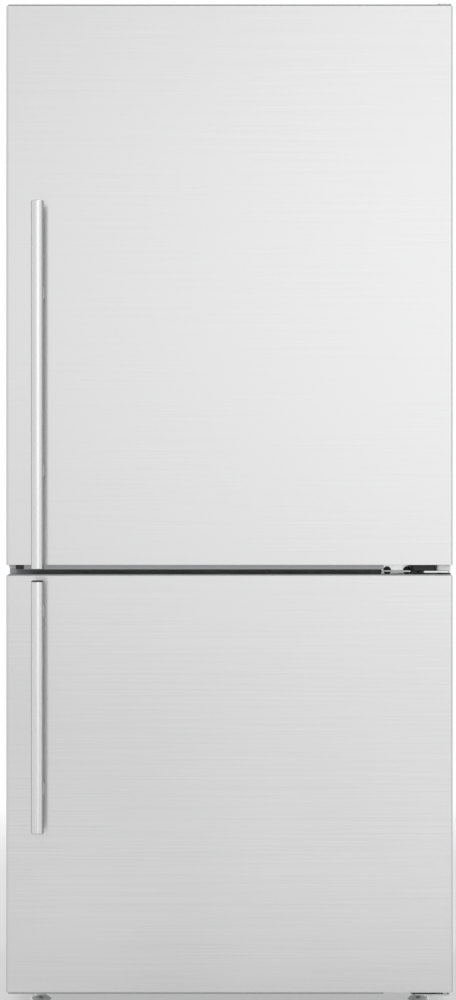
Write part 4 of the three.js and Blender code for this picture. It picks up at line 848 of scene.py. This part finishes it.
def pin_fittings():
    """Bearing and collar round the middle pin, and a black block that darkens the opening under the upper
    door's other corner.
    """
    x, y, _ = PIVOT["fridge_door_swing"]
    low, high, _ = box("fridge_door_panel")
    top = low.z - 0.0001
    foot = box("fridge_door_bottom_cap")[0].z
    insert("fridge_door_bearing", "white_plastic", (x - 0.0132, y - 0.0135, foot - 0.0025),
           (x + 0.0105, y + 0.0135, top), 0.006)
    bm = bmesh.new()
    lathe(bm, COLLAR, (x, y, box("freezer_door_top_cap")[1].z), around=True)
    piece("freezer_door_collar", bm, "black_plastic", "freezer_door")
    # black block that darkens the opening under the upper door's far corner
    insert("fridge_door_corner_dark_block", "black_plastic", (low.x + 0.0155, low.y + 0.00625, foot + 0.0003),
           (low.x + 0.0325, high.y - 0.00275, top), 0.003)


screws()
pin_fittings()

# ---------------------------------------------------------------- compressor

SHELL_SIDE = 0.0925  # from the solid's left end to the shell's axis
SHELL_RADIUS, SHELL_HEIGHT, SHELL_SEAM = 0.074, 0.168, 0.089
SEAM_BEAD = ((0, 0), (0.0025, 0.001), (0.003, 0.003), (0.0025, 0.005), (0, 0.006))
GROMMET = ((0.004, 0), (0.0095, 0), (0.011, 0.001), (0.0105, 0.0045), (0.0085, 0.006),
           (0.0105, 0.0075), (0.011, 0.0095), (0.011, 0.015), (0.009, 0.018), (0.004, 0.018))
WIDE_TUBE, NARROW_TUBE, TUBE_BEND = 0.0032, 0.0026, 0.012
MACHINE_WALL = 0.162  # where the suction tube enters the compartment's front wall


def compressor_shell(x, y, floor):
    """Pressed cup and lid, welded at a bead."""
    r, h = SHELL_RADIUS, SHELL_HEIGHT
    core = 0.012
    profile = [(core, 0.012), (0.05, 0.0125)]
    profile += [(0.05 + 0.9 * u, 0.0355 + v) for u, v in arc(0.023, -80, 0, 8)]
    profile += [(r, 0.045)] + [(r + u, SHELL_SEAM + v) for u, v in SEAM_BEAD]
    profile += [(r - 0.026 + u, h - 0.046 + 1.2 * v) for u, v in arc(0.026, 8, 62, 8)]
    profile += [(0.045, h - 0.0102), (0.03, h - 0.0052), (core, h - 0.001)]
    bm = bmesh.new()
    lathe(bm, profile, (x, y, floor), segments=72)
    piece("compressor_shell", bm, "black_steel", "cabinet", ["compressor"], smooth=50)


def compressor_mounts(x, y, floor):
    """Foot plate on four rubber grommets, and the box over the terminals."""
    r, h = SHELL_RADIUS, SHELL_HEIGHT
    bm = bmesh.new()
    plate = rounded((x - 1.25 * r, x + 1.25 * r), (y - 0.84 * r, y + 0.84 * r), 0.014)
    prism(bm, "z", plate, floor + 0.01, floor + 0.0135)
    piece("compressor_plate", bm, "black_steel", "cabinet", bevel=0.0008)
    bm = bmesh.new()
    for u in (-1.08, 1.08):
        for v in (-0.68, 0.68):
            lathe(bm, GROMMET, (x + u * r, y + v * r, floor), segments=24)
    piece("compressor_grommets", bm, "black_plastic", "cabinet")
    bm = bmesh.new()
    lid = rounded((x + 0.9 * r, x + 1.38 * r), (floor + 0.28 * h, floor + 0.64 * h), 0.006, 5)
    prism(bm, "y", lid, y - 0.4 * r, y + 0.4 * r)
    piece("compressor_terminal_box", bm, "black_plastic", "cabinet", bevel=0.0015, segments=3)


def compressor_tubes(x, y, floor):
    """Service stub, suction tube to the wall and discharge tube towards the condenser."""
    r, h = SHELL_RADIUS, SHELL_HEIGHT
    bm = bmesh.new()
    side, back = x - 0.54 * r, y + 0.54 * r
    tube(bm, [(side, back, floor + 0.1), (side, back, floor + h + 0.0075)], WIDE_TUBE)
    left, right, near, top = x - 0.3 * r, x + 0.4 * r, y - r - 0.016, floor + h + 0.004
    suction = [(left, y - 0.8 * r, floor + 0.12), (left, near, floor + 0.12), (left, near, top),
               (right, near, top), (right, MACHINE_WALL, top)]
    tube(bm, bent(suction, TUBE_BEND), WIDE_TUBE)
    left, right, near = x + 0.5 * r, x + 1.9 * r, y - r - 0.02
    discharge = [(left, y - 0.6 * r, floor + 0.05), (left, near, floor + 0.05),
                 (right, near, floor + 0.05), (right, near, floor + 0.012),
                 (x + 2.6 * r, near, floor + 0.012)]
    tube(bm, bent(discharge, TUBE_BEND), NARROW_TUBE)
    piece("compressor_tubes", bm, "zinc_steel", "cabinet", smooth=50)


def compressor():
    """Welded shell on a plate with rubber feet, a terminal box and its tubes."""
    low, _, mid = box("compressor")
    place = (low.x + SHELL_SIDE, mid.y, low.z)
    compressor_shell(*place)
    compressor_mounts(*place)
    compressor_tubes(*place)


# ---------------------------------------------------------------- condenser

COIL_HALF, COIL_PITCH, COIL_PASSES, COIL_RADIUS = 0.084, 0.032, 4, 0.0032
STRAP_HALF, STRAP_SHEET = 0.006, 0.0006


def condenser():
    """Tube bent back and forth, with two straps and a foot plate."""
    low, _, mid = box("condenser_coil")
    floor = low.z + 0.009
    top = floor + (COIL_PASSES - 1) * COIL_PITCH + 0.006
    bm = bmesh.new()
    tube(bm, serpentine(mid.x, mid.y, floor, COIL_HALF, COIL_PITCH, COIL_PASSES,
                        bend=COIL_PITCH / 2 - 0.0003, sweep=80, steps=10), COIL_RADIUS)
    piece("condenser_coil_tube", bm, "black_steel", "cabinet", ["condenser_coil"], smooth=50)
    bm = bmesh.new()
    for hand in (-1, 1):
        x = mid.x + hand * COIL_HALF * 2 / 3
        for face in (-1, 1):
            y = mid.y + face * (COIL_RADIUS + STRAP_SHEET)
            block(bm, (x - STRAP_HALF, y - STRAP_SHEET, floor - 0.0056),
                  (x + STRAP_HALF, y + STRAP_SHEET, top))
        block(bm, (x - 0.007, mid.y - 0.004, floor - 0.006), (x + 0.007, mid.y + 0.004, floor - 0.0034))
    side = 0.83 * COIL_HALF
    foot = rounded((mid.x - side, mid.x + side), (mid.y - 0.016, mid.y + 0.016), 0.004, 4)
    prism(bm, "z", foot, floor - 0.009, floor - 0.0055)
    piece("condenser_coil_straps", bm, "zinc_steel", "cabinet", bevel=0.0003, segments=1)


compressor()
condenser()
eased("condenser_fan_shroud", 0.0008)
eased("condenser_fan_blade", 0.0003, 1, 40)
eased("drain_pan", 0.0007)

# ---------------------------------------------------------------- evaporator

FIN_COUNT, FIN_HALF, FIN_SHEET, FIN_FOOT = 96, 0.236, 0.00012, 0.352
PLATE_SHEET = 0.0007
HAIRPIN_PITCH, HAIRPINS = 0.0227, 7


def evaporator():
    """Fine fins on hairpin tubes between two end plates, with the defrost heater under them."""
    low, high, mid = box("evaporator")
    bm = bmesh.new()
    for i in range(FIN_COUNT + 1):
        x = -FIN_HALF + 2 * FIN_HALF * i / FIN_COUNT
        block(bm, (x - FIN_SHEET, low.y, FIN_FOOT), (x + FIN_SHEET, high.y, high.z))
    for x in (-FIN_HALF, FIN_HALF):
        block(bm, (x - PLATE_SHEET, low.y, low.z), (x + PLATE_SHEET, high.y, high.z))
    piece("evaporator_fins", bm, "aluminium", "cabinet", ["evaporator"])
    bm = bmesh.new()
    for y in (low.y + 0.012, high.y - 0.012):
        tube(bm, serpentine(0, y, FIN_FOOT + 0.022, FIN_HALF + 0.001, HAIRPIN_PITCH, HAIRPINS,
                            bend=0.011, sweep=75, steps=8, stretch=0.7), 0.0038)
    piece("evaporator_tubes", bm, "aluminium", "cabinet", smooth=50)
    bm = bmesh.new()
    side, heater = FIN_HALF + 0.008, FIN_FOOT - 0.0144
    tube(bm, [(-side, mid.y, heater), (side, mid.y, heater)], 0.004)
    piece("evaporator_heater", bm, "black_steel", "cabinet", smooth=50)


evaporator()
eased("evaporator_fan", 0.0003, 1, 40)
eased("freezer_back_panel", 0.0006)

# ---------------------------------------------------------------- feet, rollers and dial

FOOT_PAD = ((0.003, 0), (0.0175, 0), (0.0188, 0.0006), (0.019, 0.0018), (0.0183, 0.003),
            (0.0158, 0.0058), (0.0104, 0.0086), (0.0098, 0.01), (0.003, 0.01))
FOOT_COLLAR = ((0.003, 0.0095), (0.0106, 0.0095), (0.0106, 0.0165), (0.0096, 0.0172), (0.003, 0.0172))
THREAD_START, THREAD_PITCH, THREAD_TURNS = 0.018, 0.0015, 29
THREAD_CREST, THREAD_ROOT = 0.005, 0.0043
ROLLER_BORE, ROLLER_BOSS, ROLLER_DISH, TREAD_ROUND = 0.0043, 0.008, 0.002, 0.0015
DIAL_RADIUS = 0.017
DIAL_GRIP = 0.0025  # half the finger bar's width


def levelling_foot(node):
    """Flared pad with a six-sided collar and a threaded stud."""
    low, high, mid = box(node)
    stud = [(0.003, 0.017)]
    for i in range(THREAD_TURNS):
        z = THREAD_START + i * THREAD_PITCH
        stud += [(THREAD_ROOT, z), (THREAD_CREST, z + THREAD_PITCH / 2)]
    stud.append((0.0038, high.z - low.z))
    bm = bmesh.new()
    for profile, sides in ((FOOT_PAD, 56), (FOOT_COLLAR, 6), (stud, 32)):
        lathe(bm, profile, (mid.x, mid.y, low.z), segments=sides)
    piece(node + "_turned", bm, "zinc_steel", BODY[node], [node], smooth=32)


def roller(node):
    """Wheel with a rounded tread and a dished hub."""
    low, high, mid = box(node)
    r, half = max(high.z - low.z, high.y - low.y) / 2, (high.x - low.x) / 2
    dish = half - ROLLER_DISH
    face = [(ROLLER_BORE, half), (ROLLER_BOSS, half), (ROLLER_BOSS + 0.0008, dish), (r - 0.006, dish),
            (r - 0.0045, half)]
    profile = [(radius, -x) for radius, x in face]
    profile += arc(TREAD_ROUND, -90, 0, 4, (r - TREAD_ROUND, TREAD_ROUND - half))
    profile += arc(TREAD_ROUND, 0, 90, 4, (r - TREAD_ROUND, half - TREAD_ROUND))
    profile += face[::-1]
    bm = bmesh.new()
    lathe(bm, profile, mid, "x", 64, around=True)
    piece(node + "_turned", bm, "black_plastic", BODY[node], [node], smooth=40)


def dial():
    """Knob with a skirt, a finger bar and a pointer."""
    low, high, mid = box("temperature_dial")
    r, depth = DIAL_RADIUS, high.y - low.y
    core = 0.004
    profile = [(core, 0), (r, 0), (r, 0.0022), (r - 0.0008, 0.003), (r - 0.0026, 0.0036),
               (r - 0.0034, depth - 0.0022), (r - 0.0044, depth - 0.0006), (r - 0.006, depth),
               (core, depth)]
    bm = bmesh.new()
    lathe(bm, profile, (mid.x, high.y, mid.z), "-y", 64)
    piece("temperature_dial_knob", bm, "grey_plastic", "dial", ["temperature_dial"])
    bm = bmesh.new()
    half, reach = DIAL_GRIP, r - 0.0015
    grip = rounded((mid.x - half, mid.x + half), (mid.z - reach, mid.z + reach), half - 0.0001)
    prism(bm, "y", grip, high.y - 0.003, low.y)
    piece("temperature_dial_grip", bm, "grey_plastic", "dial", bevel=0.0006)
    bm = bmesh.new()
    half, proud = 0.0006, 0.00003
    block(bm, (mid.x - half, low.y - proud, mid.z + 0.003),
          (mid.x + half, low.y + 0.001, mid.z + r - 0.003))
    piece("temperature_dial_pointer", bm, "white_plastic", "dial")


for word in ("left", "right"):
    levelling_foot("foot_" + word)
    roller("roller_" + word)
dial()

# ---------------------------------------------------------------- drawers, bins and housings

TRAY_WALL = 0.0025
TRAY_EDGE = 0.0009
TRAY_OUTSIDE = ((0.006, 0), (0.0025, 0.0008), (0.0008, 0.0025), (0, 0.006))  # inset, height
TRAY_INSIDE = ((0, 0.0085), (0.0008, 0.005), (0.0025, 0.0033), (0.006, TRAY_WALL))
BIN = {"taper": 0.006, "corner": 0.016, "lip": 0.004, "lip_height": 0.006}
DRAWER = {"taper": 0.008, "corner": 0.014}
DRAWER_FACE, DRAWER_CORNER = 0.008, 0.01
DRAWER_FLANGE, FLANGE_THICK = 0.016, 0.003
DRAWER_FLOOR = 0.028
PULL_HALF, PULL_HEIGHT, PULL_DROP = 0.09, 0.022, 0.022


def tray(bm, low, high, taper, corner, lip=0.0, lip_height=0.0):
    """Open box, narrower at its foot, with round corners, a filleted floor and an eased rim."""
    height, thick = high.z - low.z, lip or TRAY_WALL
    section = []

    def add(side, z, inset=0.0):
        section.append((side + taper * (high.z - z) / height + inset, z))

    for inset, rise in TRAY_OUTSIDE:
        add(0, low.z + rise, inset)
    if lip:
        add(0, high.z - lip_height)
        section.append((0.0002, high.z - lip_height + 0.0003))
    section += [(0, high.z - TRAY_EDGE), (TRAY_EDGE, high.z), (thick - TRAY_EDGE, high.z),
                (thick, high.z - TRAY_EDGE)]
    if lip:
        section.append((thick, high.z - lip_height))
        add(TRAY_WALL, high.z - lip_height - 0.0012)
    for inset, rise in TRAY_INSIDE:
        add(TRAY_WALL, low.z + rise, inset)
    loft(bm, [ring("z", low, high, inset, max(corner - inset, 0.003), z, 7) for inset, z in section])


def bin_tray(node):
    """Bin of a door, with a rolled lip."""
    low, high, _ = box(node)
    bm = bmesh.new()
    tray(bm, low, high, **BIN)
    piece(node + "_moulded", bm, "clear_plastic", "fridge_door", [node])


def drawer_front(bm, low, high, mid):
    """Front plate with eased edges and a hollow pull in its upper part."""
    edge, deep = TRAY_EDGE, DRAWER_FACE - TRAY_WALL
    pull_top = high.z - PULL_DROP

    def pull(grow, y):
        across = (mid.x - PULL_HALF - grow, mid.x + PULL_HALF + grow)
        rise = (pull_top - PULL_HEIGHT - grow, pull_top + grow)
        return at("y", rounded(across, rise, DRAWER_CORNER + grow, 7), y)

    loops = [ring("y", low, high, inset, DRAWER_CORNER - inset, low.y + depth, 7)
             for inset, depth in ((edge, DRAWER_FACE), (0, DRAWER_FACE - edge), (0, edge), (edge, 0))]
    loops += [pull(grow, low.y + depth)
              for grow, depth in ((edge, 0), (0, edge), (0, deep - edge), (-edge, deep))]
    loft(bm, loops)


def drawer(node):
    """Tray on side flanges behind a front with a hollow pull."""
    low, high, mid = box(node)
    seat = low.z + DRAWER_SEAT
    rim, behind = seat + FLANGE_THICK, low.y + DRAWER_FACE - 0.0005
    foot = Vector((low.x + DRAWER_FLANGE, behind, low.z + DRAWER_FLOOR))
    bm = bmesh.new()
    tray(bm, foot, Vector((high.x - DRAWER_FLANGE, high.y, rim)), **DRAWER)
    block_pair(bm, high.x - DRAWER_FLANGE - 0.0012, high.x, (behind, high.y - 0.015), (seat, rim))
    drawer_front(bm, low, high, mid)
    piece(node + "_moulded", bm, "clear_plastic", BODY[node], [node])


for word in ("top", "middle", "bottom"):
    drawer("freezer_drawer_" + word)
for node in ("dairy_bin", "door_bin_upper", "door_bin_middle", "door_bin_lower"):
    bin_tray(node)
for node in ("crisper_left", "crisper_right", "dairy_cover"):
    eased(node, 0.0007, smooth=20)
for node in ("fridge_duct_cover", "control_housing", "light_lens"):
    eased(node, 0.0012, 3)
